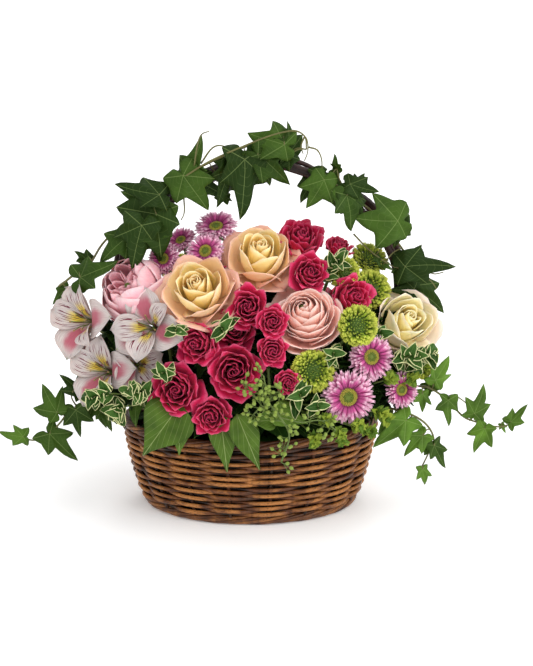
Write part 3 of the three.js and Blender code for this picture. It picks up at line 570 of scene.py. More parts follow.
def rose_head(piece, radius, matrix, chance, whorls=ROSE, rows=8, thickness=0.45, ruffle=0.012, point=0.1):
    """A rose: a tight spiral bud, tall petals that cup it, and broad outer ones whose lips roll back."""
    for number, layer, share, (_, low, high, first, last, wrap, roll, drop) in whorled_petals(whorls):
        reach = mix(low, high, share) * chance.uniform(0.96, 1.04)
        rise = mix(first, last, share) + chance.uniform(-0.02, 0.02)
        flare = smooth(0.5, 1.0, layer)
        profile = (
            (0.07 + 0.05 * layer, -0.52),
            (0.16 + 0.72 * reach, -0.54),
            (reach * (1.08 - 0.26 * flare) + 0.05, rise - mix(0.5, 0.36, flare)),
            (reach, rise),
        )
        angle = number * GOLDEN_ANGLE + chance.uniform(-0.2, 0.2)
        petal = cupped_petal(
            angle, math.radians(wrap), profile, radius, layer, chance.random(),
            roll=roll * chance.uniform(0.7, 1.3), ruffle=ruffle + 0.03 * layer, drop=drop,
            point=point * layer, rows=rows, thickness=thickness)
        piece.add(petal, matrix)


RANUNCULUS = [
    (8, 0.09, 0.2, 0.36, 0.4, 74, 0.0, 0.12),
    (13, 0.22, 0.46, 0.42, 0.42, 64, 0.0, 0.24),
    (16, 0.48, 0.77, 0.41, 0.22, 56, 0.02, 0.36),
    (14, 0.79, 1.0, 0.19, -0.08, 44, 0.05, 0.46),
]


# Where a ranunculus has its eye, as shares of its radius, and its two loose petals: angle and half width.
EYE_X, EYE_Y = -0.14, 0.28
LOOSE_PETALS = ((2.3, 34), (2.9, 30))


def ranunculus_head(piece, radius, matrix, chance):
    """A ranunculus: broad thin petals, wrapped in a low dome round an eye that sits off its middle."""
    for number, layer, share, (_, low, high, first, last, wrap, roll, drop) in whorled_petals(RANUNCULUS):
        reach = mix(low, high, share) * chance.uniform(0.96, 1.04)
        rise = mix(first, last, share)
        wrapped = smooth(0.75, 0.3, layer)
        profile = (
            (0.1, -0.5),
            (reach * 0.7 + 0.2, -0.5),
            (reach + mix(-0.16, 0.14, wrapped), rise - mix(0.18, 0.34, wrapped)),
            (reach - 0.04 * wrapped, rise),
        )
        inward = (1 - layer) ** 1.2
        shift = Matrix.Translation((EYE_X * radius * inward, EYE_Y * radius * inward, 0))
        petal = cupped_petal(
            number * GOLDEN_ANGLE, math.radians(wrap), profile, radius, layer, chance.random(),
            roll=roll, ruffle=0.012 + 0.014 * layer, drop=drop, rows=7, columns=9, thickness=0.3)
        piece.add(petal, matrix @ shift)
    profile = ((0.1, -0.5), (0.9, -0.6), (1.2, -0.5), (1.34, -0.16))
    for angle, width in LOOSE_PETALS:
        petal = cupped_petal(angle, math.radians(width), profile, radius, 0.9, chance.random(),
                             roll=0.05, ruffle=0.03, drop=0.4)
        piece.add(petal, matrix)
    for finish, size, height in ((2, 0.13, 0.16), (1, 0.06, 0.24)):
        centre = (EYE_X * radius, EYE_Y * radius, height * radius)
        piece.add(ball(size * radius, centre, 0.6, finish=finish, tint=(0.1, 0.2, 0.3, 1)), matrix)


PEONY = [
    (9, 0.1, 0.3, 0.24, 0.4, 44, 0.0, 0.2),
    (8, 0.34, 0.46, 0.42, 0.5, 52, 0.0, 0.3),
    (8, 0.5, 0.6, 0.54, 0.5, 58, 0.0, 0.32),
    (5, 0.68, 0.8, 0.4, 0.26, 60, 0.05, 0.34),
]


def peony_head(piece, radius, matrix, chance):
    """A peony: crumpled petals that show in the mouth of a cup of broad, smooth ones."""
    for number, layer, share, (_, low, high, first, last, wrap, roll, drop) in whorled_petals(PEONY):
        lip = mix(low, high, share)
        rise = mix(first, last, share) + chance.uniform(-0.04, 0.04)
        belly = lip + 0.34 * smooth(0.2, 0.7, layer)
        profile = (
            (0.08, -0.54),
            (0.1 + 0.85 * belly, -0.58),
            (belly + 0.1, rise - 0.42),
            (lip, rise),
        )
        crumple = mix(0.12, 0.05, smooth(0.1, 0.7, layer))
        petal = cupped_petal(
            number * GOLDEN_ANGLE, math.radians(wrap), profile, radius, layer, chance.random(),
            roll=roll, ruffle=crumple, drop=drop, rows=10, columns=10, thickness=0.45)
        piece.add(petal, matrix)
    piece.add(ball(0.13 * radius, (0, 0, 0.1 * radius), 1.2, finish=2, tint=(0.1, 0.3, 0.3, 1)), matrix)


def ball(radius, centre, squash, finish=0, tint=(0.6, 0.5, 0.5, 1.0), detail=2):
    """A ball whose height is squash times its breadth."""
    shape = new_shape()
    bmesh.ops.create_icosphere(shape, subdivisions=detail, radius=radius)
    bmesh.ops.scale(shape, vec=(1, 1, squash), verts=shape.verts)
    bmesh.ops.translate(shape, vec=centre, verts=shape.verts)
    shade = shape.verts.layers.float_color["tint"]
    for vert in shape.verts:
        vert[shade] = tint
    for face in shape.faces:
        face.smooth = True
        face.material_index = finish
    return shape


def ray_mesh(length, width, rise, notch, chance, layer=0.5, cup=0.35):
    """A narrow ray from the origin along +X, that rises and then droops."""
    def place(u, v):
        half = width * (0.5 + 0.5 * math.sin(math.pi * min(0.62, 0.1 + 0.6 * v))) * (1 - 0.45 * v ** 10)
        end = 1 - notch * (1 - abs(u)) * smooth(0.8, 1.0, v)
        lift = rise * (v - 0.5 * v * v) * length + cup * width * u * u
        return Vector((length * v * end, half * u, lift))

    return as_mesh(sheet(2, 4, place, lambda u, v: (v, layer, chance, abs(u)), 0.35))


# An aster's rows of rays: how far they reach, how steeply they rise, how high they start, and how many
# there are. They start at the disc's edge, and each row has rays in four shades.
ASTER_ROWS = [(1.0, 0.12, 0.0, 46), (0.95, 0.3, 0.04, 44), (0.86, 0.55, 0.08, 40), (0.72, 0.85, 0.1, 34)]
RAYS_START, DISC, DISC_FLORETS = 0.3, 0.34, 120
SHADES = 4


def aster_head(piece, radius, matrix, chance):
    """An aster: rows of narrow rays round a disc of tiny florets, green in its middle and yellow round it."""
    for end, rise, height, count in ASTER_ROWS:
        shades = [ray_mesh((end - RAYS_START) * radius, 0.058 * radius, rise, 0.1, c / (SHADES - 1))
                  for c in range(SHADES)]
        for k in range(count):
            turn = Matrix.Rotation(TAU * (k + chance.uniform(-0.35, 0.35)) / count, 4, "Z")
            tilt = Matrix.Rotation(-chance.uniform(-0.1, 0.22), 4, "Y")
            roll = Matrix.Rotation(chance.uniform(-0.5, 0.5), 4, "X")
            size = Matrix.Scale(chance.uniform(0.84, 1.04), 4)
            reach = Matrix.Translation((RAYS_START * radius, 0, height * radius))
            piece.add(shades[chance.randrange(SHADES)], matrix @ turn @ reach @ tilt @ roll @ size)
        for mesh in shades:
            bpy.data.meshes.remove(mesh)
    piece.add(ball(DISC * radius, (0, 0, 0.04 * radius), 0.4, finish=1, tint=(0.15, 0.3, 0.4, 1)), matrix)
    yellow = as_mesh(ball(0.03 * radius, (0, 0, 0), 1.3, finish=1, tint=(0.9, 0.8, 0.8, 1), detail=1))
    green = as_mesh(ball(0.03 * radius, (0, 0, 0), 1.3, finish=1, tint=(0.2, 0.5, 0.8, 1), detail=1))
    for k in range(DISC_FLORETS):
        share = math.sqrt((k + 8) / (DISC_FLORETS + 8))
        angle = k * GOLDEN_ANGLE
        place = Matrix.Translation((DISC * share * radius * math.cos(angle),
                                    DISC * share * radius * math.sin(angle),
                                    radius * (0.06 + 0.12 * math.sqrt(max(0.0, 1 - share ** 2)))))
        size = Matrix.Scale(mix(0.7, 1.3, share), 4)
        piece.add(green if share < 0.55 else yellow, matrix @ place @ size)
    bpy.data.meshes.remove(yellow)
    bpy.data.meshes.remove(green)


MUM_FLORETS = 210


def mum_head(piece, radius, matrix, chance):
    """A button chrysanthemum: spiky florets all over a low dome, darker and shorter in its heart."""
    scoops = [ray_mesh(0.42 * radius, 0.085 * radius, 0.5, 0.2, c / (SHADES - 1), layer=layer, cup=0.6)
              for c in range(SHADES) for layer in (0.1, 0.9)]
    for k in range(MUM_FLORETS):
        share = (k + 0.5) / MUM_FLORETS
        polar = math.acos(1 - 1.25 * share)
        angle = k * GOLDEN_ANGLE + chance.uniform(-0.15, 0.15)
        out = Vector((math.sin(polar) * math.cos(angle), math.sin(polar) * math.sin(angle), math.cos(polar)))
        root = Vector((out.x * 0.62, out.y * 0.62, out.z * 0.34 - 0.04)) * radius
        lean = mix(0.1, 0.85, min(1.0, polar / 1.5))
        wander = Vector([chance.uniform(-0.16, 0.16) for _ in range(3)])
        heading = (out * (1 - 0.4 * lean) + Vector((out.x, out.y, 0.3)) * lean + wander).normalized()
        side = Vector((-math.sin(angle), math.cos(angle), 0))
        up = heading.cross(side).normalized()
        turn = Matrix((heading, up.cross(heading), up)).transposed().to_4x4()
        size = Matrix.Scale(mix(0.42, 1.05, smooth(0.0, 0.5, share)) * chance.uniform(0.85, 1.08), 4)
        light = 1 if chance.random() < smooth(0.04, 0.35, share) else 0
        scoop = scoops[2 * chance.randrange(SHADES) + light]
        piece.add(scoop, matrix @ Matrix.Translation(root) @ turn @ size)
    for mesh in scoops:
        bpy.data.meshes.remove(mesh)
    piece.add(ball(0.62 * radius, (0, 0, -0.04 * radius), 0.6, tint=(0.1, 0.1, 0.4, 1)), matrix)


def tepal(radius, angle, length, width, spread, cup, chance, finish, widest):
    """A tepal that leaves the trumpet's throat as a narrow claw and opens into a broad round blade."""
    def place(u, v):
        reach, rise = bezier(((0.05, -0.86), (0.1, -0.3), (0.3, 0.2), (spread, length)), v)
        blade = smooth(0.12, widest, v)
        end = math.sqrt(max(0.0, 1 - smooth(widest, 1.0, v) ** 2.2))
        half = mix(0.05, width, blade) * end
        bow = cup * u * u * half - 0.04 * math.sin(4 * v) * u * u
        wave = 0.035 * v * math.sin(9 * v + 4 * chance + 2 * u) * abs(u)
        droop = 0.12 * smooth(0.75, 1.0, v) ** 2
        along = Vector((math.cos(angle), math.sin(angle), 0))
        across = Vector((-math.sin(angle), math.cos(angle), 0))
        lift = Vector((0, 0, rise + bow + wave - droop))
        return radius * (along * (reach - 0.3 * bow) + across * (half * u) + lift)

    return sheet(12, 18, place, lambda u, v: (v, 0.5, chance, abs(u)), 0.4, finish)


# Where the tepals of an alstroemeria point, in degrees: two streaked ones stand together, with a
# blotched one behind them, and the others lie opposite. Six stamens stand in the throat.
BLOTCHED = (136, 20, 262)
STREAKED = (102, 172, 318)
STAMENS = 6


def alstroemeria_head(piece, radius, matrix, chance):
    """An alstroemeria: three broad blotched tepals, and three narrower streaked ones between them."""
    for number, (outer, inner) in enumerate(zip(BLOTCHED, STREAKED)):
        outer = math.radians(outer + chance.uniform(-6, 6))
        inner = math.radians(inner + chance.uniform(-6, 6))
        piece.add(tepal(radius, outer, 0.1, 0.54, 1.18, 0.2, chance.random(), 0, 0.7), matrix)
        wide, far = (0.4, 1.08) if number < 2 else (0.28, 0.9)
        piece.add(tepal(radius, inner, 0.26, wide, far, 0.4, chance.random(), 1, 0.72), matrix)
    for k in range(STAMENS):
        angle = TAU * k / STAMENS + 0.3
        tip = Vector((0.3 * math.cos(angle), 0.3 * math.sin(angle), 0.12)) * radius
        line = smooth_path([(0, 0, -0.8 * radius), tip * 0.4 + Vector((0, 0, -0.2 * radius)), tip], 4)
        piece.add(rod(line, 0.45, 5, (0.5, 0.5, 0.6, 1), finish=2), matrix)
        piece.add(ball(0.9, tip, 1.6, finish=3, detail=1), matrix)


# ---------------------------------------------------------------- leaves

FORWARD = Vector((0, -0.92, 0.39))

# The lobes of an ivy leaf: where each points from the leaf's own line, in degrees, and how far it reaches.
IVY_LOBES = [(0, 1.0), (54, 0.76), (114, 0.52)]
IVY_BAYS = [(30, 0.47), (84, 0.4), (162, 0.2)]


def ivy_reach(angle, fullness):
    """How far the edge of an ivy leaf lies from its stalk, and the angle from the nearest main vein."""
    turned = abs(math.degrees(angle))
    vein = min(abs(turned - lobe) for lobe, _ in IVY_LOBES)
    marks = sorted(IVY_LOBES + IVY_BAYS + [(180, 0.05)])
    reach = marks[-1][1]
    for (low, low_reach), (high, high_reach) in zip(marks, marks[1:]):
        if low <= turned <= high:
            share = (turned - low) / (high - low)
            from_peak = share if low_reach > high_reach else 1 - share
            peak, bay = max(low_reach, high_reach), min(low_reach, high_reach) + fullness
            reach = bay + (peak - bay) * (1 - from_peak) ** 1.45
    return reach, math.radians(vein)


def leaf_frame(hub, tip, normal):
    """A leaf's hub, its length, and the ways along it, across it and out of its face."""
    hub, tip = Vector(hub), Vector(tip)
    along = (tip - hub).normalized()
    across = along.cross(Vector(normal)).normalized()
    return hub, (tip - hub).length, along, across, across.cross(along)


IVY_FOLD, IVY_DROOP = 0.2, 0.16


def ivy_leaf(hub, tip, width, normal, chance, fullness):
    """A leaf with pointed lobes, which dips along each main vein."""
    hub, length, along, across, up = leaf_frame(hub, tip, normal)
    skew = 0.14 * math.sin(40 * chance)

    def place(u, v):
        angle = math.pi * u
        reach, vein = ivy_reach(angle, fullness)
        reach *= 1 + 0.08 * math.sin(3 * angle + 30 * chance) + 0.03 * math.sin(9 * angle + 50 * chance)
        x = reach * v * math.sin(angle) * width
        y = reach * v * math.cos(angle)
        x += skew * y * y
        lift = IVY_FOLD * reach * v * min(vein, 0.5) - IVY_DROOP * (y * y + 0.9 * x * x)
        lift += 0.07 * v * v * math.sin(4 * angle + 17 * chance) + 0.04 * math.sin(7 * y + 20 * chance) * v
        return hub + length * (across * x + along * y + up * lift)

    def tint(u, v):
        reach, vein = ivy_reach(math.pi * u, fullness)
        return (v, min(1.0, 2 * vein * reach * v), chance, v)

    return sheet(60, 5, place, tint, 0.45)


def simple_leaf(hub, tip, width=0.32, normal=FORWARD, fold=0.18, droop=0.2, chance=0.5, finish=0, taper=1.0,
                wave=0.0, columns=6, rows=10, thickness=0.5, blunt=0.85, belly=0.74):
    """A leaf with one midrib. width is half its breadth, as a share of its length."""
    hub, length, along, across, up = leaf_frame(hub, tip, normal)

    def half_at(v):
        return width * math.sin(math.pi * min(1.0, v ** belly)) ** blunt * (1 - 0.35 * taper * v ** 3) + 0.008

    def place(u, v):
        x = half_at(v) * u
        lift = fold * abs(x) - droop * (v - 0.25) ** 2 + wave * math.sin(11 * v + 20 * chance) * u * width
        return hub + length * (across * x + along * v + up * lift)

    def tint(u, v):
        return (v, min(1.0, 2 * half_at(v) * abs(u)), chance, max(abs(u), smooth(0.9, 1.0, v)))

    return sheet(columns, rows, place, tint, thickness, finish)


# ---------------------------------------------------------------- stems, as in the part's source

AIM_HEIGHT, AIM_SHARE, AIM_REACH = 70, 0.35, 48
STEM_DEPTH, STEM_FORK, STEM_RADIUS = 26, 66, 1.6


def towards_foam(point, distance):
    """The place on the line from point to its aim in the foam, at that distance from the aim."""
    aim = Vector((AIM_REACH * math.tanh(AIM_SHARE * point.x / AIM_REACH), 0, AIM_HEIGHT))
    return aim + (point - aim).normalized() * distance


def grow_stems(piece, heads, finish):
    """One branching stem: from the foam to a fork, and on to the back of each head."""
    places = [Vector(head[1]) for head in heads]
    middle = sum(places, Vector()) / len(places)
    end, fork = towards_foam(middle, STEM_DEPTH), towards_foam(middle, STEM_FORK)
    for k, (radius, centre, face, *_) in enumerate(heads):
        axis = Vector(face).normalized()
        top = Vector(centre) - axis * (0.42 * radius)
        knee = (top - axis * (0.4 * radius)).lerp(towards_foam(Vector(centre), STEM_FORK), 0.3)
        points = [end, fork, knee, top] if k == 0 else [fork, knee, top]
        piece.add(rod(smooth_path(points, 5), STEM_RADIUS, 7, finish=finish))


SEPALS = 5


def calyx(piece, radius, matrix, finish):
    """The green sepals behind a head, and the swelling that they grow from."""
    piece.add(ball(0.2 * radius, (0, 0, -0.52 * radius), 0.9, finish=finish), matrix)
    for k in range(SEPALS):
        angle = TAU * k / SEPALS + 0.4
        out = Vector((math.cos(angle), math.sin(angle), 0))
        root = out * (0.12 * radius) + Vector((0, 0, -0.56 * radius))
        tip = out * (0.5 * radius) + Vector((0, 0, -0.5 * radius))
        sepal = simple_leaf(root, tip, 0.2, Vector((0, 0, -1)), droop=-0.3, finish=finish, columns=2, rows=5)
        piece.add(sepal, matrix)


# ---------------------------------------------------------------- what grows where

# Flowers by node: the kind, the record's slot, and each head's radius, centre and facing.
BLOOMS = {
    "rose_left": ("rose", "rose_apricot", [(37, (-46, -58, 226), (-0.12, -0.72, 0.68))]),
    "rose_centre": ("rose", "rose_apricot", [(36, (10, -28, 250), (0.05, -0.62, 0.79))]),
    "rose_right": ("rose", "rose_cream", [(37, (144, -27, 186), (0.3, -0.74, 0.6))]),
    "ranunculus": ("ranunculus", "ranunculus_pink", [(34, (53, -66, 200), (-0.12, -0.68, 0.72), 0.0)]),
    "peony": ("peony", "peony_pink", [(33, (-109, -30, 221), (-0.5, -0.55, 0.67))]),
    "spray_roses_top": ("spray_rose", "rose_crimson", [
        (23, (48, -4, 262), (0.1, -0.6, 0.8)),
        (19, (55, -40, 238), (0.2, -0.85, 0.45)),
        (14, (84, 4, 252), (0.3, -0.3, 0.9)),
    ]),
    "spray_roses_middle": ("spray_rose", "rose_crimson", [
        (20, (-1, -72, 214), (-0.1, -0.92, 0.35)),
        (15, (21, -84, 204), (0.15, -0.95, 0.3)),
    ]),
    "spray_roses_front": ("spray_rose", "rose_crimson", [
        (21, (-47, -78, 181), (-0.3, -0.93, 0.2)),
        (26, (-13, -86, 159), (0.0, -0.96, 0.26)),
        (23, (-14, -62, 191), (-0.05, -0.92, 0.35)),
    ]),
    "spray_roses_left": ("spray_rose", "rose_crimson", [
        (25, (-66, -84, 139), (-0.12, -0.95, 0.26)),
        (19, (-34, -92, 117), (-0.05, -0.98, 0.1)),
    ]),
    "spray_roses_low": ("spray_rose", "rose_crimson", [
        (15, (21, -90, 179), (0.2, -0.96, 0.2)),
        (12, (35, -98, 152), (0.2, -0.96, 0.1)),
    ]),
    "spray_rose_right": ("spray_rose", "rose_crimson", [(21, (95, -42, 216), (0.45, -0.8, 0.4))]),
    "spray_roses_back": ("spray_rose", "rose_crimson", [
        (22, (-30, 66, 206), (-0.2, 0.85, 0.45)),
        (24, (8, 78, 168), (0.05, 0.95, 0.25)),
        (20, (-52, 80, 158), (-0.35, 0.9, 0.2)),
    ]),
    "spray_roses_back_right": ("spray_rose", "rose_crimson", [
        (22, (92, 58, 182), (0.5, 0.8, 0.35)),
        (19, (66, 78, 146), (0.3, 0.93, 0.15)),
    ]),
    "asters_top": ("aster", "aster_magenta", [
        (21, (-31, 0, 270), (-0.1, -0.45, 0.88)),
        (19, (-40, -22, 253), (-0.25, -0.8, 0.55)),
    ]),
    "asters_left": ("aster", "aster_magenta", [
        (16, (-64, 6, 256), (-0.3, -0.5, 0.8)),
        (17, (-79, -12, 243), (-0.4, -0.75, 0.5)),
    ]),
    "asters_right": ("aster", "aster_magenta", [
        (26, (89, -88, 135), (0.15, -0.98, 0.12)),
        (23, (110, -68, 166), (0.35, -0.9, 0.3)),
    ]),
    "aster_low": ("aster", "aster_magenta", [(18, (139, -60, 132), (0.4, -0.9, 0.2))]),
    "asters_back": ("aster", "aster_magenta", [
        (24, (28, 50, 232), (0.1, 0.65, 0.75)),
        (22, (-88, 46, 190), (-0.6, 0.7, 0.4)),
    ]),
    "mums_top": ("mum", "mum_lime", [
        (18, (112, 4, 238), (0.3, -0.5, 0.8)),
        (16, (86, -22, 233), (0, -0.8, 0.6)),
        (19, (112, -20, 216), (0.15, -0.85, 0.5)),
    ]),
    "mum_right": ("mum", "mum_lime", [(19, (97, -76, 198), (0.25, -0.9, 0.35))]),
    "mum_front": ("mum", "mum_lime", [(20, (57, -86, 159), (0.1, -0.97, 0.2))]),
    "mum_low": ("mum", "mum_lime", [(14, (158, -42, 150), (0.5, -0.8, 0.3))]),
    "mums_back": ("mum", "mum_lime", [
        (19, (-66, 36, 222), (-0.4, 0.55, 0.73)),
        (18, (70, 40, 216), (0.4, 0.6, 0.7)),
    ]),
    "alstroemeria_upper": ("alstroemeria", "alstroemeria_white", [
        (34, (-156, -34, 190), (-0.62, -0.7, 0.3), 0.0),
        (32, (-92, -64, 194), (-0.3, -0.86, 0.36), 1.5),
    ]),
    "alstroemeria_lower": ("alstroemeria", "alstroemeria_white", [
        (32, (-136, -56, 148), (-0.45, -0.84, 0.3), -0.2),
        (24, (-103, -58, 156), (0.1, -0.95, 0.3), 3.6),
    ]),
}

BACKWARD = (0, 0.9, 0.4)

# Vines by node: the vine's own path, and each leaf's hub, tip and width, with what it faces if not forward.
VINES = {
    "ivy_handle_left": (
        [(-90, 4, 124), (-146, 14, 168), (-180, 2, 206), (-168, -18, 226), (-149, -18, 239),
         (-133, -15, 262), (-101, -14, 288), (-77, -14, 308), (-50, -14, 327), (-22, -14, 341),
         (12, -13, 355), (37, -14, 364), (50, -14, 359), (52, -16, 347)],
        [
            ((-156, -27, 230), (-126, -39, 244), 0.9),
            ((-85, -21, 288), (-121, -33, 258), 1.1),
            ((-82, -20, 306), (-120, -23, 312), 0.75),
            ((-60, -21, 324), (-37, -27, 292), 0.95),
            ((-16, -20, 330), (-33, -23, 296), 0.7),
            ((-4, -22, 339), (-2, -31, 289), 0.85),
            ((8, -21, 343), (41, -22, 317), 0.7),
            ((32, -20, 352), (-3, -21, 363), 0.9),
        ],
    ),
    "ivy_handle_right": (
        [(90, 12, 118), (126, 20, 160), (150, 16, 205), (153, 2, 232), (141, -12, 254),
         (119, -14, 283), (95, -14, 303), (74, -14, 317), (58, -14, 322)],
        [
            ((68, -21, 320), (54, -27, 290), 0.85),
            ((89, -22, 306), (96, -30, 276), 1.0),
            ((92, -20, 316), (118, -23, 306), 0.7),
            ((136, -22, 282), (92, -31, 282), 0.95),
            ((144, -19, 238), (185, -25, 246), 0.8),
            ((153, -6, 216), (187, -12, 193), 0.8),
        ],
    ),
    "ivy_trail_left": (
        [(-84, -27, 96), (-121, -38, 112), (-142, -42, 114), (-167, -42, 105), (-178, -43, 93),
         (-190, -44, 80), (-204, -44, 76), (-216, -44, 80)],
        [
            ((-162, -49, 108), (-156, -55, 76), 0.95),
            ((-136, -53, 112), (-129, -61, 88), 0.9),
            ((-159, -43, 124), (-177, -45, 148), 0.8),
            ((-180, -47, 105), (-199, -51, 139), 0.85),
            ((-187, -51, 85), (-160, -58, 57), 0.95),
            ((-212, -50, 82), (-238, -53, 84), 0.85),
        ],
    ),
    "ivy_trail_right": (
        [(96, -22, 108), (140, -44, 126), (163, -46, 130), (182, -48, 119), (197, -47, 103),
         (207, -47, 97), (232, -48, 91), (250, -48, 96)],
        [
            ((172, -51, 138), (191, -53, 166), 0.85),
            ((184, -55, 120), (182, -62, 90), 0.9),
            ((160, -55, 126), (158, -65, 104), 0.8),
            ((209, -53, 106), (222, -57, 140), 0.9),
            ((219, -55, 92), (202, -65, 64), 0.9),
            ((243, -54, 98), (262, -57, 118), 0.8),
        ],
    ),
    "ivy_trail_low": (
        [(84, -34, 98), (122, -54, 112), (148, -60, 108), (164, -62, 98), (171, -62, 83),
         (166, -62, 69), (160, -62, 55)],
        [
            ((144, -69, 105), (108, -78, 76), 0.8),
            ((160, -69, 90), (136, -77, 70), 0.75),
            ((171, -68, 80), (182, -74, 56), 0.85),
            ((161, -67, 56), (164, -71, 36), 0.85),
        ],
    ),
    "ivy_back": (
        [(-70, 32, 100), (-104, 58, 118), (-132, 66, 118), (-150, 66, 100), (-158, 64, 80)],
        [
            ((-128, 72, 118), (-118, 82, 86), 0.9, BACKWARD),
            ((-136, 70, 122), (-160, 66, 146), 0.85, BACKWARD),
            ((-148, 72, 102), (-176, 70, 96), 0.9, BACKWARD),
            ((-156, 70, 84), (-146, 76, 56), 0.9, BACKWARD),
        ],
    ),
    "ivy_back_right": (
        [(72, 31, 100), (106, 58, 116), (134, 64, 112), (150, 62, 92)],
        [
            ((112, 66, 118), (100, 80, 88), 0.9, BACKWARD),
            ((134, 70, 114), (160, 66, 138), 0.85, BACKWARD),
            ((146, 70, 100), (138, 78, 66), 0.9, BACKWARD),
            ((150, 68, 92), (176, 64, 80), 0.8, BACKWARD),
        ],
    ),
}

# More leaves of the same vines, which the solids leave out: most are small ones behind the large, and
# all are set back by this much.
SET_BACK = Vector((0, 5, 0))
MORE_IVY = {
    "ivy_handle_left": [
        ((-55, -18, 322), (-42, -24, 353), 0.85),
        ((-54, -18, 319), (-17, -24, 308), 0.75),
        ((-85, -18, 288), (-94, -24, 244), 0.95),
        ((-88, -14, 292), (-112, -20, 310), 0.9),
        ((36, -19, 343), (37, -25, 374), 0.8),
        ((36, -22, 341), (20, -27, 326), 0.9),
        ((-14, -18, 338), (-29, -24, 316), 0.9),
        ((6, -18, 338), (24, -14, 312), 0.8),
        ((-23, -12, 303), (-30, -18, 292), 0.9),
        ((-150, -16, 242), (-161, -20, 254), 0.8),
        ((-172, -14, 214), (-186, -18, 204), 0.8),
        ((-98, -36, 280), (-108, -46, 242), 1.0),
        ((-112, -32, 268), (-138, -38, 248), 0.9),
    ],
    "ivy_handle_right": [
        ((67, -18, 324), (48, -24, 317), 0.9),
        ((57, -8, 314), (44, -14, 297), 0.9),
        ((72, -12, 318), (78, -18, 292), 0.9),
        ((89, -24, 309), (104, -30, 279), 0.75),
        ((97, -16, 312), (106, -20, 325), 0.9),
        ((137, -20, 281), (135, -26, 254), 0.9),
        ((142, -16, 237), (157, -22, 258), 0.85),
        ((142, -14, 236), (138, -20, 219), 0.85),
        ((154, -14, 214), (132, -20, 213), 0.85),
        ((80, -14, 328), (77, -20, 340), 0.8),
        ((117, -20, 248), (121, -26, 239), 0.7),
        ((124, -20, 239), (132, -26, 236), 0.7),
    ],
    "ivy_trail_left": [
        ((-146, -44, 112), (-130, -50, 84), 0.85),
        ((-150, -40, 122), (-168, -44, 130), 0.8),
        ((-104, -47, 126), (-112, -58, 88), 0.95),
    ],
    "ivy_trail_right": [((166, -48, 128), (184, -52, 146), 0.8), ((236, -50, 92), (240, -54, 82), 0.8)],
    "ivy_trail_low": [((132, -62, 106), (116, -72, 88), 0.9), ((168, -64, 76), (150, -70, 74), 0.8)],
}

# How large each vine's leaves are, how dark and how fresh they run, and how full they are between their
# lobes. The trails run fresher than the handle's vines, the right one the freshest, and the vines at the back
# have plain looks.
IVY_PLAIN_LOOKS = (1.0, 0.05, 0.5, 0.04)
IVY_LOOKS = {
    "ivy_handle_left": (1.0, 0.0, 0.34, 0.08),
    "ivy_handle_right": (1.0, 0.0, 0.36, 0.08),
    "ivy_trail_left": (0.86, 0.1, 0.6, 0.0),
    "ivy_trail_right": (0.78, 0.4, 0.85, 0.0),
    "ivy_trail_low": (0.85, 0.15, 0.8, 0.0),
}

# Thin shoots and leaf stalks that stand away from the vines.
SHOOTS = {
    "ivy_handle_left": [
        [(-60, -20, 322), (-36, -26, 338), (-8, -28, 351), (20, -28, 362), (40, -28, 366), (51, -27, 360),
         (53, -26, 348), (50, -24, 338)],
        [(-50, -18, 332), (-47, -18, 351), (-43, -18, 361), (-36, -18, 364)],
        [(-44, -16, 334), (-33, -18, 349), (-22, -18, 350), (-8, -18, 340)],
        [(54, -15, 349), (62, -14, 346), (66, -14, 337), (66, -14, 326)],
        [(50, -14, 358), (47, -15, 350), (49, -16, 343)],
        [(-149, -18, 239), (-160, -16, 232), (-168, -16, 234)],
        [(-62, -14, 318), (-60, -15, 300), (-60, -15, 288), (-63, -15, 281)],
    ],
    "ivy_handle_right": [
        [(88, -16, 308), (82, -15, 320), (80, -14, 328)],
        [(119, -14, 283), (122, -16, 292), (130, -18, 290), (136, -20, 284)],
        [(96, -14, 268), (112, -16, 252), (132, -16, 238), (142, -16, 236)],
        [(150, -15, 232), (160, -16, 226), (168, -16, 224), (174, -16, 216)],
        [(152, -14, 228), (164, -14, 232), (172, -15, 230), (180, -16, 232)],
    ],
    "ivy_trail_left": [[(-160, -42, 106), (-166, -44, 118), (-164, -45, 126)]],
    "ivy_trail_right": [
        [(182, -48, 119), (190, -50, 123), (206, -52, 112)],
        [(205, -47, 97), (212, -49, 104), (220, -50, 106)],
    ],
    "ivy_trail_low": [[(150, -61, 107), (146, -64, 96), (142, -65, 84)]],
}

# Salal by node: the spray's own path, and each leaf's hub, tip and width, with what it faces if not forward.
SALAL_SPRAYS = {
    "salal_left": (
        [(-52, -36, 98), (-66, -76, 102), (-71, -88, 110)],
        [((-62, -83, 126), (-97, -99, 82), 0.42), ((-62, -82, 112), (-64, -97, 82), 0.3)],
    ),
    "salal_front": (
        [(-14, -38, 96), (-12, -80, 98), (-11, -89, 100)],
        [((-26, -86, 116), (-20, -98, 64), 0.23), ((-11, -88, 118), (10, -98, 66), 0.23)],
    ),
    "salal_middle": (
        [(22, -38, 98), (24, -84, 114)],
        [((20, -86, 122), (52, -100, 114), 0.34), ((24, -84, 111), (2, -102, 116), 0.32)],
    ),
    "salal_back": (
        [(-6, 36, 106), (-14, 74, 126), (-18, 84, 122)],
        [
            ((-18, 82, 122), (-52, 96, 92), 0.33, BACKWARD),
            ((-18, 84, 122), (-8, 96, 76), 0.3, BACKWARD),
            ((-16, 80, 124), (24, 96, 98), 0.3, BACKWARD),
        ],
    ),
}

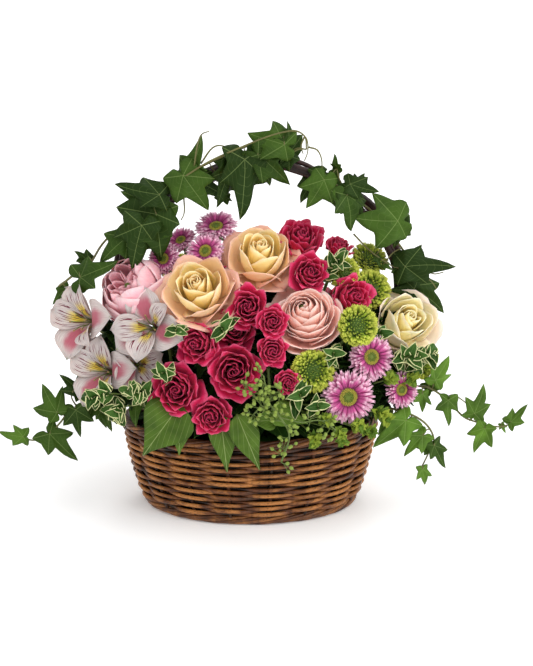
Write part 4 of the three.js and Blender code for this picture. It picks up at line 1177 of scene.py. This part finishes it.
# Sprigs by node: their path, how many pairs of leaves, the size of a leaf, and how broad it is.
SPRIGS = {
    "variegated_left": ([(-62, -34, 112), (-112, -72, 120), (-122, -80, 116)], 8, 14, 0.36),
    "variegated_top": ([(20, -14, 116), (66, -30, 224), (84, -38, 252)], 7, 15, 0.3),
    "variegated_front": ([(30, -38, 112), (56, -92, 128), (62, -106, 132)], 3, 12, 0.36),
    "variegated_right": ([(50, -22, 112), (118, -44, 152), (142, -63, 164), (170, -67, 168)], 11, 14, 0.36),
    "variegated_back": ([(30, 34, 112), (46, 80, 188), (44, 90, 202)], 7, 16, 0.34),
    "filler_right": ([(38, -34, 96), (78, -98, 106), (84, -106, 98)], 22, 7, 0.3),
}

# More sprigs between the flowers, which the solids leave out.
MORE_SPRIGS = [
    ("variegated", [(-60, -30, 110), (-122, -72, 132), (-142, -84, 132)], 8, 14, 0.36),
    ("variegated", [(-54, -30, 110), (-88, -74, 132), (-108, -88, 140)], 8, 14, 0.36),
    ("variegated", [(-44, -30, 112), (-70, -76, 150), (-78, -96, 160)], 5, 14, 0.36),
    ("variegated", [(-12, -28, 116), (-20, -64, 190), (-24, -92, 200)], 4, 14, 0.34),
    ("variegated", [(34, -26, 114), (70, -72, 162), (76, -92, 178)], 5, 13, 0.36),
    ("variegated", [(52, -16, 114), (104, -40, 176), (120, -60, 184)], 6, 13, 0.36),
    ("variegated", [(54, 20, 112), (104, 52, 150), (118, 60, 158)], 7, 16, 0.34),
    ("variegated", [(-40, 30, 112), (-76, 62, 168), (-84, 68, 178)], 7, 16, 0.34),
    ("variegated", [(50, -20, 112), (126, -40, 150), (152, -52, 152)], 8, 13, 0.36),
    ("variegated", [(-30, -28, 114), (-58, -62, 186), (-66, -82, 196)], 5, 12, 0.36),
    ("variegated", [(30, -30, 112), (40, -88, 132), (46, -104, 142)], 3, 17, 0.3),
    ("filler", [(46, -28, 100), (98, -84, 104), (112, -96, 104)], 20, 7, 0.3),
    ("filler", [(46, -28, 100), (92, -86, 108), (100, -100, 112)], 18, 7, 0.3),
    ("filler", [(54, -22, 106), (120, -66, 142), (130, -72, 148)], 16, 8, 0.3),
    ("filler", [(54, -22, 106), (134, -54, 138), (150, -62, 142)], 14, 8, 0.3),
    ("filler", [(40, -30, 104), (64, -92, 116), (70, -108, 120)], 18, 7, 0.3),
    ("filler", [(34, -32, 100), (56, -94, 102), (60, -106, 96)], 18, 7, 0.3),
    ("filler", [(54, -24, 104), (112, -74, 116), (126, -84, 112)], 18, 8, 0.3),
    ("variegated", [(10, 34, 112), (16, 66, 168), (12, 88, 196)], 7, 16, 0.34),
    ("variegated", [(-20, 36, 110), (-56, 78, 132), (-66, 90, 126)], 8, 16, 0.34),
    ("filler", [(0, 36, 106), (-26, 80, 140), (-34, 90, 146)], 16, 9, 0.3),
    ("filler", [(20, 36, 106), (36, 82, 122), (44, 92, 116)], 16, 9, 0.3),
    ("filler", [(-30, 34, 106), (-70, 74, 126), (-82, 82, 130)], 16, 9, 0.3),
    ("filler", [(40, 32, 106), (70, 70, 116), (82, 80, 108)], 16, 9, 0.3),
]

# The eucalyptus twig, and the side twigs that leave it.
TWIG_PATH = [
    (14, -38, 100), (16, -80, 118), (13, -108, 140), (28, -113, 124), (36, -112, 106), (29, -110, 80),
]
SIDE_TWIGS = [
    [(16, -80, 118), (4, -100, 140), (-4, -108, 154)],
    [(13, -106, 138), (15, -112, 150), (13, -110, 162)],
    [(14, -104, 134), (25, -112, 142), (31, -112, 148)],
    [(18, -110, 136), (9, -113, 132), (4, -112, 126)],
    [(28, -113, 124), (46, -112, 119), (64, -110, 120), (78, -108, 110)],
]


# ---------------------------------------------------------------- flowers

HEADS = {
    "rose": rose_head,
    "spray_rose": partial(rose_head, whorls=SPRAY_ROSE, rows=6, thickness=0.4, ruffle=0.026, point=0.26),
    "ranunculus": ranunculus_head,
    "peony": peony_head,
    "aster": aster_head,
    "mum": mum_head,
    "alstroemeria": alstroemeria_head,
}
HEAD_FINISHES = {
    "rose_apricot": [APRICOT, STEM],
    "rose_cream": [CREAM, STEM],
    "ranunculus_pink": [SALMON, STEM, ASTER_DISC],
    "peony_pink": [PEONY_PINK, STEM, ASTER_DISC],
    "rose_crimson": [CRIMSON, STEM],
    "aster_magenta": [ASTER_RAY, ASTER_DISC, STEM],
    "mum_lime": [LIME, STEM],
    "alstroemeria_white": [TEPAL_BLOTCHED, TEPAL_STREAKED, STEM, ANTHER],
}


def flower_sprays():
    """Every flower or spray: its heads with their sepals, and the branching stem that carries them."""
    for number, (node, (kind, slot, heads)) in enumerate(BLOOMS.items()):
        chance = random.Random(SEEDS["blooms"] + number)
        finishes = HEAD_FINISHES[slot]
        green = finishes.index(STEM)
        bloom = Piece(node + "_bloom", finishes, slot, [node])
        for radius, centre, face, *spin in heads:
            matrix = placement(centre, face, spin[0] if spin else centre[0])
            HEADS[kind](bloom, radius, matrix, chance)
            if kind != "alstroemeria":
                calyx(bloom, radius, matrix, green)
        grow_stems(bloom, heads, green)
        bloom.finish()


flower_sprays()


# ---------------------------------------------------------------- greenery

def nearest(points, place):
    """The one of the points that lies nearest to a place."""
    return min(points, key=lambda p: (p - place).length_squared)


def stem_into_foam(piece, start, following):
    """The stalk that holds a vine, a spray or a sprig in the foam."""
    start, following = Vector(start), Vector(following)
    stalk = [towards_foam(start, STEM_DEPTH), start, start.lerp(following, 0.1)]
    piece.add(rod(stalk, 1.5, 6, finish=1))


def ivy_vines():
    """The vines with their shoots, and a stalk for each leaf."""
    for number, (node, (path, leaves)) in enumerate(VINES.items()):
        chance = random.Random(SEEDS["vines"] + number)
        scale, darkest, freshest, fullness = IVY_LOOKS.get(node, IVY_PLAIN_LOOKS)
        vine = Piece(node + "_vine", [IVY, VINE], "ivy_leaf", [node])
        line = smooth_path(path, 6)
        vine.add(rod(line, lambda share: mix(1.3, 0.7, share), 7, finish=1))
        stem_into_foam(vine, path[0], path[1])
        for shoot in SHOOTS.get(node, []):
            vine.add(rod(smooth_path(shoot, 5), lambda share: mix(0.95, 0.5, share), 5, finish=1))
        behind = [(Vector(hub) + SET_BACK, Vector(tip) + SET_BACK, width)
                  for hub, tip, width in MORE_IVY.get(node, [])]
        for hub, tip, width, *facing in leaves + behind:
            wander = Vector((chance.uniform(-0.55, 0.55), 0, chance.uniform(-0.3, 0.4)))
            normal = Vector(facing[0] if facing else FORWARD) + wander
            tip = Vector(hub).lerp(Vector(tip), scale)
            tone = chance.uniform(darkest, freshest)
            vine.add(ivy_leaf(hub, tip, width * 0.9, normal, tone, fullness))
            root = nearest(line, Vector(hub))
            bend = (root + Vector(hub)) * 0.5 + Vector((0, 0, 3))
            vine.add(rod(smooth_path([root, bend, Vector(hub)], 3), 0.6, 5, finish=1))
        vine.finish()


def salal_sprays():
    """Broad leaves on short stems, which hang over the rim."""
    for number, (node, (path, leaves)) in enumerate(SALAL_SPRAYS.items()):
        chance = random.Random(SEEDS["salal"] + number)
        spray = Piece(node + "_spray", [SALAL, STEM], "salal_leaf", [node])
        line = smooth_path(path, 4)
        spray.add(rod(line, 1.3, 7, finish=1))
        stem_into_foam(spray, path[0], path[1])
        for hub, tip, width, *facing in leaves:
            normal = Vector(facing[0]) if facing else FORWARD
            leaf = simple_leaf(hub, tip, width, normal, chance=chance.uniform(0.5, 1.0), columns=8, rows=14,
                               taper=1.6, droop=0.3, wave=0.12, blunt=1.05, belly=0.58)
            spray.add(leaf)
            spray.add(rod([nearest(line, Vector(hub)), Vector(hub)], 0.9, 5, finish=1))
        spray.finish()


def grow_sprig(sprig, path, pairs, size, width, chance):
    """A thin stem with pairs of wavy leaves along its outer half, each pair turned from the last."""
    line = smooth_path(path, 8)
    last = len(line) - 1
    sprig.add(rod(line, 0.8, 6, finish=1))
    stem_into_foam(sprig, path[0], path[1])
    for k in range(pairs):
        place_number = round(mix(0.52, 1.0, (k + 0.5) / pairs) * last)
        place = line[place_number]
        along = (place - line[place_number - 2]).normalized()
        square = along.cross(FORWARD).normalized()
        for side in (-1, 1):
            aside = Matrix.Rotation(2.4 * k + chance.uniform(-0.4, 0.4), 3, along) @ square * side
            heading = (along * chance.uniform(0.3, 0.9) + aside + FORWARD * 0.3).normalized()
            tip = place + heading * size * chance.uniform(0.7, 1.1)
            normal = FORWARD + 0.4 * aside + 0.3 * along
            leaf = simple_leaf(place, tip, width, normal, fold=0.6, droop=0.8, chance=chance.random(),
                               wave=0.3, taper=0.0, columns=4, rows=8, thickness=0.4, blunt=0.62)
            sprig.add(leaf)


SPRIG_KINDS = {"variegated": (VARIEGATED, "variegated_leaf"), "filler": (FILLER, "filler_leaf")}


def small_sprigs():
    """The sprigs that the solids have, and then those between the flowers."""
    for number, (node, sprig_looks) in enumerate(SPRIGS.items()):
        leaf, slot = SPRIG_KINDS[node.split("_")[0]]
        sprig = Piece(node + "_sprig", [leaf, STEM], slot, [node])
        grow_sprig(sprig, *sprig_looks, random.Random(SEEDS["sprigs"] + number))
        sprig.finish()
    for number, (kind, *sprig_looks) in enumerate(MORE_SPRIGS):
        leaf, slot = SPRIG_KINDS[kind]
        sprig = Piece(f"{kind}_sprig_{number + 1}", [leaf, STEM], slot)
        grow_sprig(sprig, *sprig_looks, random.Random(SEEDS["more_sprigs"] + number))
        sprig.finish()


SEEDS_IN_BUNCH = 3


def eucalyptus_twig():
    """The twig and its side twigs, with seeds in little bunches on stalks of their own."""
    chance = random.Random(SEEDS["twig"])
    twig = Piece("eucalyptus_front_twig", [SEED, STEM], "eucalyptus_seed", ["eucalyptus_front"])
    stem_into_foam(twig, TWIG_PATH[0], TWIG_PATH[1])
    seed_mesh = as_mesh(ball(1.0, (0, 0, 0), 1.15, tint=(0.45, 0.5, 0.6, 1)))
    cap_mesh = as_mesh(ball(0.3, (0, 0, 1.15), 1.6, tint=(0.75, 0.7, 0.8, 1), detail=1))
    for path in (TWIG_PATH, *SIDE_TWIGS):
        line = smooth_path(path, 8)
        main = path is TWIG_PATH
        twig.add(rod(line, 0.9 if main else 0.65, 6, finish=1))
        bunches = 15 if main else 6
        for bunch in range(bunches):
            root = line[round(mix(0.45, 1.0, bunch / (bunches - 1)) * (len(line) - 1))]
            spread = Vector((chance.uniform(-1, 1), chance.uniform(-0.8, 0.1), chance.uniform(-0.9, 0.7)))
            spread.normalize()
            knot = root + spread * chance.uniform(2, 5)
            twig.add(rod([root, knot], 0.5, 5, finish=1))
            for _ in range(SEEDS_IN_BUNCH):
                away = (spread + Vector([chance.uniform(-1.1, 1.1) for _ in range(3)])).normalized()
                tip = knot + away * chance.uniform(4, 8)
                twig.add(rod([knot, tip], 0.35, 4, finish=1))
                size = Matrix.Scale(chance.uniform(1.45, 1.95), 4)
                for mesh in (seed_mesh, cap_mesh):
                    twig.add(mesh, placement(tip + away * 1.4, away) @ size)
    twig.finish()
    bpy.data.meshes.remove(seed_mesh)
    bpy.data.meshes.remove(cap_mesh)


ivy_vines()
salal_sprays()
small_sprigs()
eucalyptus_twig()


# ---------------------------------------------------------------- basket

# Half the rim's length and breadth, the rim's height, the foot's share of the rim, and the wall's swell.
HALF_X, HALF_Y, TOP, WAIST, BULGE = 124, 84, 88, 0.8, 0.55
STAKES, WEAVE_ROWS, STEPS_PER_STAKE = 18, 19, 8
WALL_LOW, WALL_HIGH = 9.4, 78.9
STAKE_INSET, BORDER_REACH, LINING_INSET = 3.7, 4.4, 9.2
# How far in from the outline a woven rod runs, and how far it bows out or in from there.
ROD_INSET, ROD_BOW = 3.4, 2.9


def outline(angle, z, inset):
    """A point of the basket's outline at that height, moved in by inset."""
    share = WAIST + (1 - WAIST) * (max(z, 0) / TOP) ** BULGE
    normal = Vector((math.cos(angle) / (HALF_X * share), math.sin(angle) / (HALF_Y * share), 0)).normalized()
    return Vector((HALF_X * share * math.cos(angle), HALF_Y * share * math.sin(angle), z)) - normal * inset


def woven_side():
    """Rows of willow rods that bow out in front of one stake and run behind the next."""
    chance = random.Random(SEEDS["weave"])
    side = Piece("basket_weave", [WILLOW], "willow", ["basket_wall"])
    steps = STAKES * STEPS_PER_STAKE
    for row in range(WEAVE_ROWS):
        z = mix(WALL_LOW, WALL_HIGH, (row + 0.5) / WEAVE_ROWS)
        sway = 2.0 * math.sin(math.pi * (row + 0.5) / WEAVE_ROWS)
        phase = chance.uniform(0, TAU)
        thick = chance.uniform(1.7, 2.05)
        own = chance.random()
        line = []
        for step in range(steps + 1):
            angle = TAU * (step % steps) / steps
            out = math.cos(STAKES / 2 * angle + math.pi * row)
            bow = math.copysign(abs(out) ** 0.8, out)
            rise = sway * math.sin(2 * angle + 0.9) + 0.65 * math.sin(3 * angle + phase)
            rise += 0.5 * math.sin(STAKES / 2 * angle + math.pi * row + 1.2)
            line.append(outline(angle, z + rise, ROD_INSET - ROD_BOW * bow))

        # Each rod's corners carry its bow, which paints a highlight where it bows out in front of a stake and
        # paints shade where it runs behind one.
        def shade(share, row=row, own=own):
            angle = TAU * share
            return (0, 0.5 + 0.5 * math.cos(STAKES / 2 * angle + math.pi * row), own, 1)

        side.add(rod(line, thick, 8, shade, closed=True))
    for stake in range(STAKES):
        line = [outline(TAU * stake / STAKES, z, STAKE_INSET) for z in range(3, 87, 6)]
        # The stakes carry a low bow, so they are painted dark: partly their own wood, partly painted shade
        # where they stand between the rods.
        side.add(rod(line, 1.8, 8, (0, 0.2, chance.random(), 1)))
    side.finish()


def basket_shade_lining():
    """A sheet of painted shade that lines the weave, so that no light shows between its rods and its gaps
    look dark.
    """
    lining = Piece("basket_shade_lining", [shade_lining_finish()], "liner")

    def place(u, v):
        return outline(math.pi * u, mix(7, 81, v), LINING_INSET)

    lining.add(sheet(96, 10, place, lambda u, v: (v, 0, 0.5, 1), 0.5))
    lining.finish()


BORDER_STRANDS, BORDER_STEPS = 6, 240


def twisted_rods(piece, z, turns, swing, thick, chance, stretch=1.0):
    """Strands that twist round each other as they run round the basket at height z."""
    steps = BORDER_STEPS
    for strand in range(BORDER_STRANDS):
        line = []
        loose = chance.uniform(0.9, 1.08)
        for step in range(steps + 1):
            angle = TAU * (step % steps) / steps
            turn = turns * angle + TAU * strand / BORDER_STRANDS
            reach = swing * loose * (1 + 0.08 * math.sin(3 * angle + strand))
            lift = Vector((0, 0, stretch * reach * math.sin(turn)))
            line.append(outline(angle, z, BORDER_REACH - reach * math.cos(turn)) + lift)
        piece.add(rod(line, thick, 8, (0, 0.6, chance.random(), 1), closed=True))


def basket_borders():
    """The twisted foot and the plaited rim."""
    chance = random.Random(SEEDS["borders"])
    foot = Piece("basket_foot_twist", [BORDER], "willow_border", ["basket_foot"])
    twisted_rods(foot, 4.7, 5, 2.5, 1.75, chance, stretch=1.05)
    foot.finish()
    rim = Piece("basket_rim_plait", [BORDER], "willow_border", ["basket_rim"])
    twisted_rods(rim, 83.4, 8, 2.7, 1.8, chance)
    rim.finish()


# The hoop's middle line, from one foot inside the basket to the other.
HANDLE_PATH = [
    (-84, 0, 6.8), (-88, 0, 30), (-98, 0, 56), (-105, 0, 86), (-115, 0, 115), (-120, 0, 150),
    (-123, 0, 200), (-119, 0, 246), (-106, 0, 268), (-77, 0, 297), (-32, 0, 323), (12, 0, 336),
    (47, 0, 325), (74, 0, 311), (107, 0, 292), (126, 0, 264), (139, 0, 235), (143, 0, 205),
    (139, 0, 165), (125, 0, 125), (105, 0, 86), (98, 0, 56), (88, 0, 30), (84, 0, 6.8),
]


HANDLE_TWIGS = 7


def twig_handle():
    """The hoop: dark twigs of several thicknesses, twisted loosely together."""
    chance = random.Random(SEEDS["handle"])
    hoop = Piece("handle_twigs", [BARK], "handle_twig", [f"handle_rod_{k + 1}" for k in range(3)])
    line = smooth_path(HANDLE_PATH, 6)
    aside = Vector((0, 1, 0))
    for twig_number in range(HANDLE_TWIGS):
        thick = chance.uniform(1.9, 3.0)
        swing = 0.0 if twig_number == 0 else chance.uniform(4.2, 5.6)
        start = TAU * twig_number / (HANDLE_TWIGS - 1)
        turns = chance.uniform(2.2, 3.2)
        points = []
        for k, centre in enumerate(line):
            share = k / (len(line) - 1)
            tangent = (line[min(k + 1, len(line) - 1)] - line[max(k - 1, 0)]).normalized()
            out = aside.cross(tangent).normalized()
            turn = start + TAU * turns * share
            loose = swing * (1 + 0.2 * math.sin(9 * share * TAU + start))
            points.append(centre + aside * (loose * math.cos(turn)) + out * (loose * math.sin(turn)))
        hoop.add(rod(points, thick, 8, (0, 0, chance.random(), 1)))
    hoop.finish()


def keep_solids(finishes):
    """Solids that are shown as they are, each in a finish of its own."""
    for node, material in finishes.items():
        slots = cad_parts[node].data.materials
        slots.clear()
        slots.append(material)


woven_side()
basket_shade_lining()
basket_borders()
twig_handle()
keep_solids({"basket_base": WILLOW, "liner_bowl": liner_finish(), "foam_block": foam_finish()})


# ---------------------------------------------------------------- leaves that fill the mound

# Clumps of leafy stems: the middle that each is gathered round, how far it reaches, the lowest height
# that it fills as a share of its own, how many leaves it has, and how long they are.
CLUMPS = [
    ((4, 0, 96), (118, 68, 132), -0.05, 300, 34),
    ((26, -6, 196), (66, 26, 46), -0.4, 70, 34),
    ((-112, -24, 158), (40, 22, 42), -0.8, 60, 34),
    ((108, -14, 180), (40, 22, 44), -0.8, 50, 34),
    ((-8, -44, 168), (56, 34, 46), -0.9, 120, 20),
    ((92, -44, 146), (50, 32, 40), -0.9, 90, 20),
    ((122, -46, 124), (26, 22, 22), -0.9, 60, 18),
    ((-44, -44, 128), (34, 30, 22), -0.9, 50, 20),
    ((4, 44, 146), (98, 30, 54), -0.9, 130, 30),
    ((-110, -46, 126), (30, 18, 18), -0.9, 80, 18),
    ((-122, -30, 172), (24, 14, 28), -0.9, 50, 18),
]


def filling():
    """Leafy stems that stand in the foam between the flowers, and fill the mound under their heads."""
    chance = random.Random(SEEDS["filling"])
    mound = Piece("filling_foliage", [FOLIAGE, STEM], "salal_leaf")
    for middle, reach, lowest, leaves, length in CLUMPS:
        middle = Vector(middle)
        for k in range(leaves):
            height = mix(lowest, 0.97, (k + 0.5) / leaves)
            angle = k * GOLDEN_ANGLE
            flat = math.sqrt(max(0.0, 1 - height * height))
            out = Vector((flat * math.cos(angle), flat * math.sin(angle), height))
            shape = Vector([size * share for size, share in zip(reach, out)]) * chance.uniform(0.74, 1.0)
            tip = middle + shape + Vector((chance.uniform(-12, 12), 0, chance.uniform(-14, 4)))
            hub = tip - out * length + Vector((0, 0, 0.3 * length * (1 - height)))
            normal = out + Vector((0, 0, 0.5)) + Vector([chance.uniform(-0.35, 0.35) for _ in range(3)])
            width = chance.uniform(0.26, 0.38)
            leaf = simple_leaf(hub, tip, width, normal, chance=chance.random(), columns=4, rows=8, wave=0.06)
            mound.add(leaf)
            if k % 3 == 0:
                mound.add(rod([towards_foam(hub, STEM_DEPTH), hub], 0.9, 5, finish=1))
    mound.finish()


# The rings of leaves at the rim: where they start and end as shares of the way out, the heights of their
# hubs and tips, and how many there are.
RIM_RINGS = ((0.46, 0.84, 84, 78, 34), (0.5, 0.93, 98, 92, 34))


def rim_leaves():
    """Leaves tucked in round the foam, which close the basket's mouth and lean over its rim."""
    chance = random.Random(SEEDS["rim_leaves"])
    ring = Piece("rim_foliage", [FOLIAGE, STEM], "salal_leaf")
    for start, end, hub_height, tip_height, count in RIM_RINGS:
        for k in range(count):
            angle = TAU * (k + chance.uniform(-0.3, 0.3)) / count
            out = Vector((HALF_X * math.cos(angle), HALF_Y * math.sin(angle), 0))
            hub = out * start + Vector((0, 0, hub_height))
            tip = out * (end + chance.uniform(-0.05, 0.04))
            tip += Vector((0, 0, tip_height + chance.uniform(-4, 5)))
            width = chance.uniform(0.26, 0.36)
            normal = (0.2 * math.cos(angle), 0.2 * math.sin(angle), 1)
            leaf = simple_leaf(hub, tip, width, normal, chance=chance.random(), columns=4, rows=8, wave=0.08)
            ring.add(leaf)
            ring.add(rod([towards_foam(hub, STEM_DEPTH), hub], 0.9, 5, finish=1))
    ring.finish()


filling()
rim_leaves()


# ---------------------------------------------------------------- studio

FLOOR_RADIUS, FLOOR_HEIGHT, FLOOR_GLOW = 14, -0.0002, 0.14
SKY = 0.7

# Lamps by name: where each stands, how broad it is, and its power. They are all aimed at the flowers.
LAMPS = {
    "key_light": ((1.6, -1.1, 1.2), 1.4, 14),
    "fill_light": ((-1.8, -1.2, 1.3), 1.4, 2),
    "back_light": ((0.4, 1.8, 1.8), 1.2, 13),
}
LAMPS_AIM = Vector((0.0, 0.0, 0.16))

# The soft light of a large window: its strength, its breadth in degrees, and the way that it shines.
WINDOW_STRENGTH, WINDOW_BREADTH, WINDOW_WAY = 1.15, 80, Vector((-0.3, 0.35, -1.0))


def light_up(name, light, place, way):
    """Puts a light in the studio, shining one way."""
    made = bpy.data.objects.new(name, light)
    made.location = place
    made.rotation_euler = way.to_track_quat("-Z", "Y").to_euler()
    bpy.context.scene.collection.objects.link(made)


def studio():
    """A plain pale floor, an even sky, a soft window light and three broad lamps."""
    floor_shape = bmesh.new()
    bmesh.ops.create_circle(floor_shape, cap_ends=True, segments=96, radius=FLOOR_RADIUS)
    mesh = as_mesh(floor_shape)
    floor = bpy.data.objects.new("floor", mesh)
    floor.location.z = FLOOR_HEIGHT
    bpy.context.scene.collection.objects.link(floor)
    pale = Finish("pale_floor", roughness=0.9, specular=0.1)
    pale.shader.inputs["Emission Color"].default_value = WHITE
    pale.shader.inputs["Emission Strength"].default_value = FLOOR_GLOW
    mesh.materials.append(pale.coat_with(WHITE))

    world = bpy.data.worlds.new("studio")
    bpy.context.scene.world = world
    world.use_nodes = True
    sky = world.node_tree.nodes["Background"]
    sky.inputs["Color"].default_value = WHITE
    sky.inputs["Strength"].default_value = SKY

    window = bpy.data.lights.new("window_light", "SUN")
    window.energy = WINDOW_STRENGTH
    window.angle = math.radians(WINDOW_BREADTH)
    light_up("window_light", window, (0, 0, 0), WINDOW_WAY)
    for name, (place, breadth, power) in LAMPS.items():
        lamp = bpy.data.lights.new(name, "AREA")
        lamp.energy = power
        lamp.size = breadth
        light_up(name, lamp, place, LAMPS_AIM - Vector(place))


# The photograph's view: how far off in metres, how steep in degrees, what it looks at, and its lens in mm.
VIEW_DISTANCE, VIEW_RISE = 1.5, 17
VIEW_AIM = Vector((0.0157, 0, 0.168))
FOCAL_LENGTH, SENSOR_WIDTH = 85.35, 36
FARTHEST = 60


def photo_camera():
    """A camera where the photograph was taken from."""
    rise = math.radians(VIEW_RISE)
    lens = bpy.data.cameras.new("camera")
    lens.lens = FOCAL_LENGTH
    lens.sensor_width = SENSOR_WIDTH
    lens.clip_end = FARTHEST
    made = bpy.data.objects.new("camera", lens)
    made.location = VIEW_AIM + Vector((0, -VIEW_DISTANCE * math.cos(rise), VIEW_DISTANCE * math.sin(rise)))
    made.rotation_euler = (math.pi / 2 - rise, 0, 0)
    bpy.context.scene.collection.objects.link(made)
    bpy.context.scene.camera = made


studio()
photo_camera()
bpy.context.scene.view_settings.view_transform = "Standard"
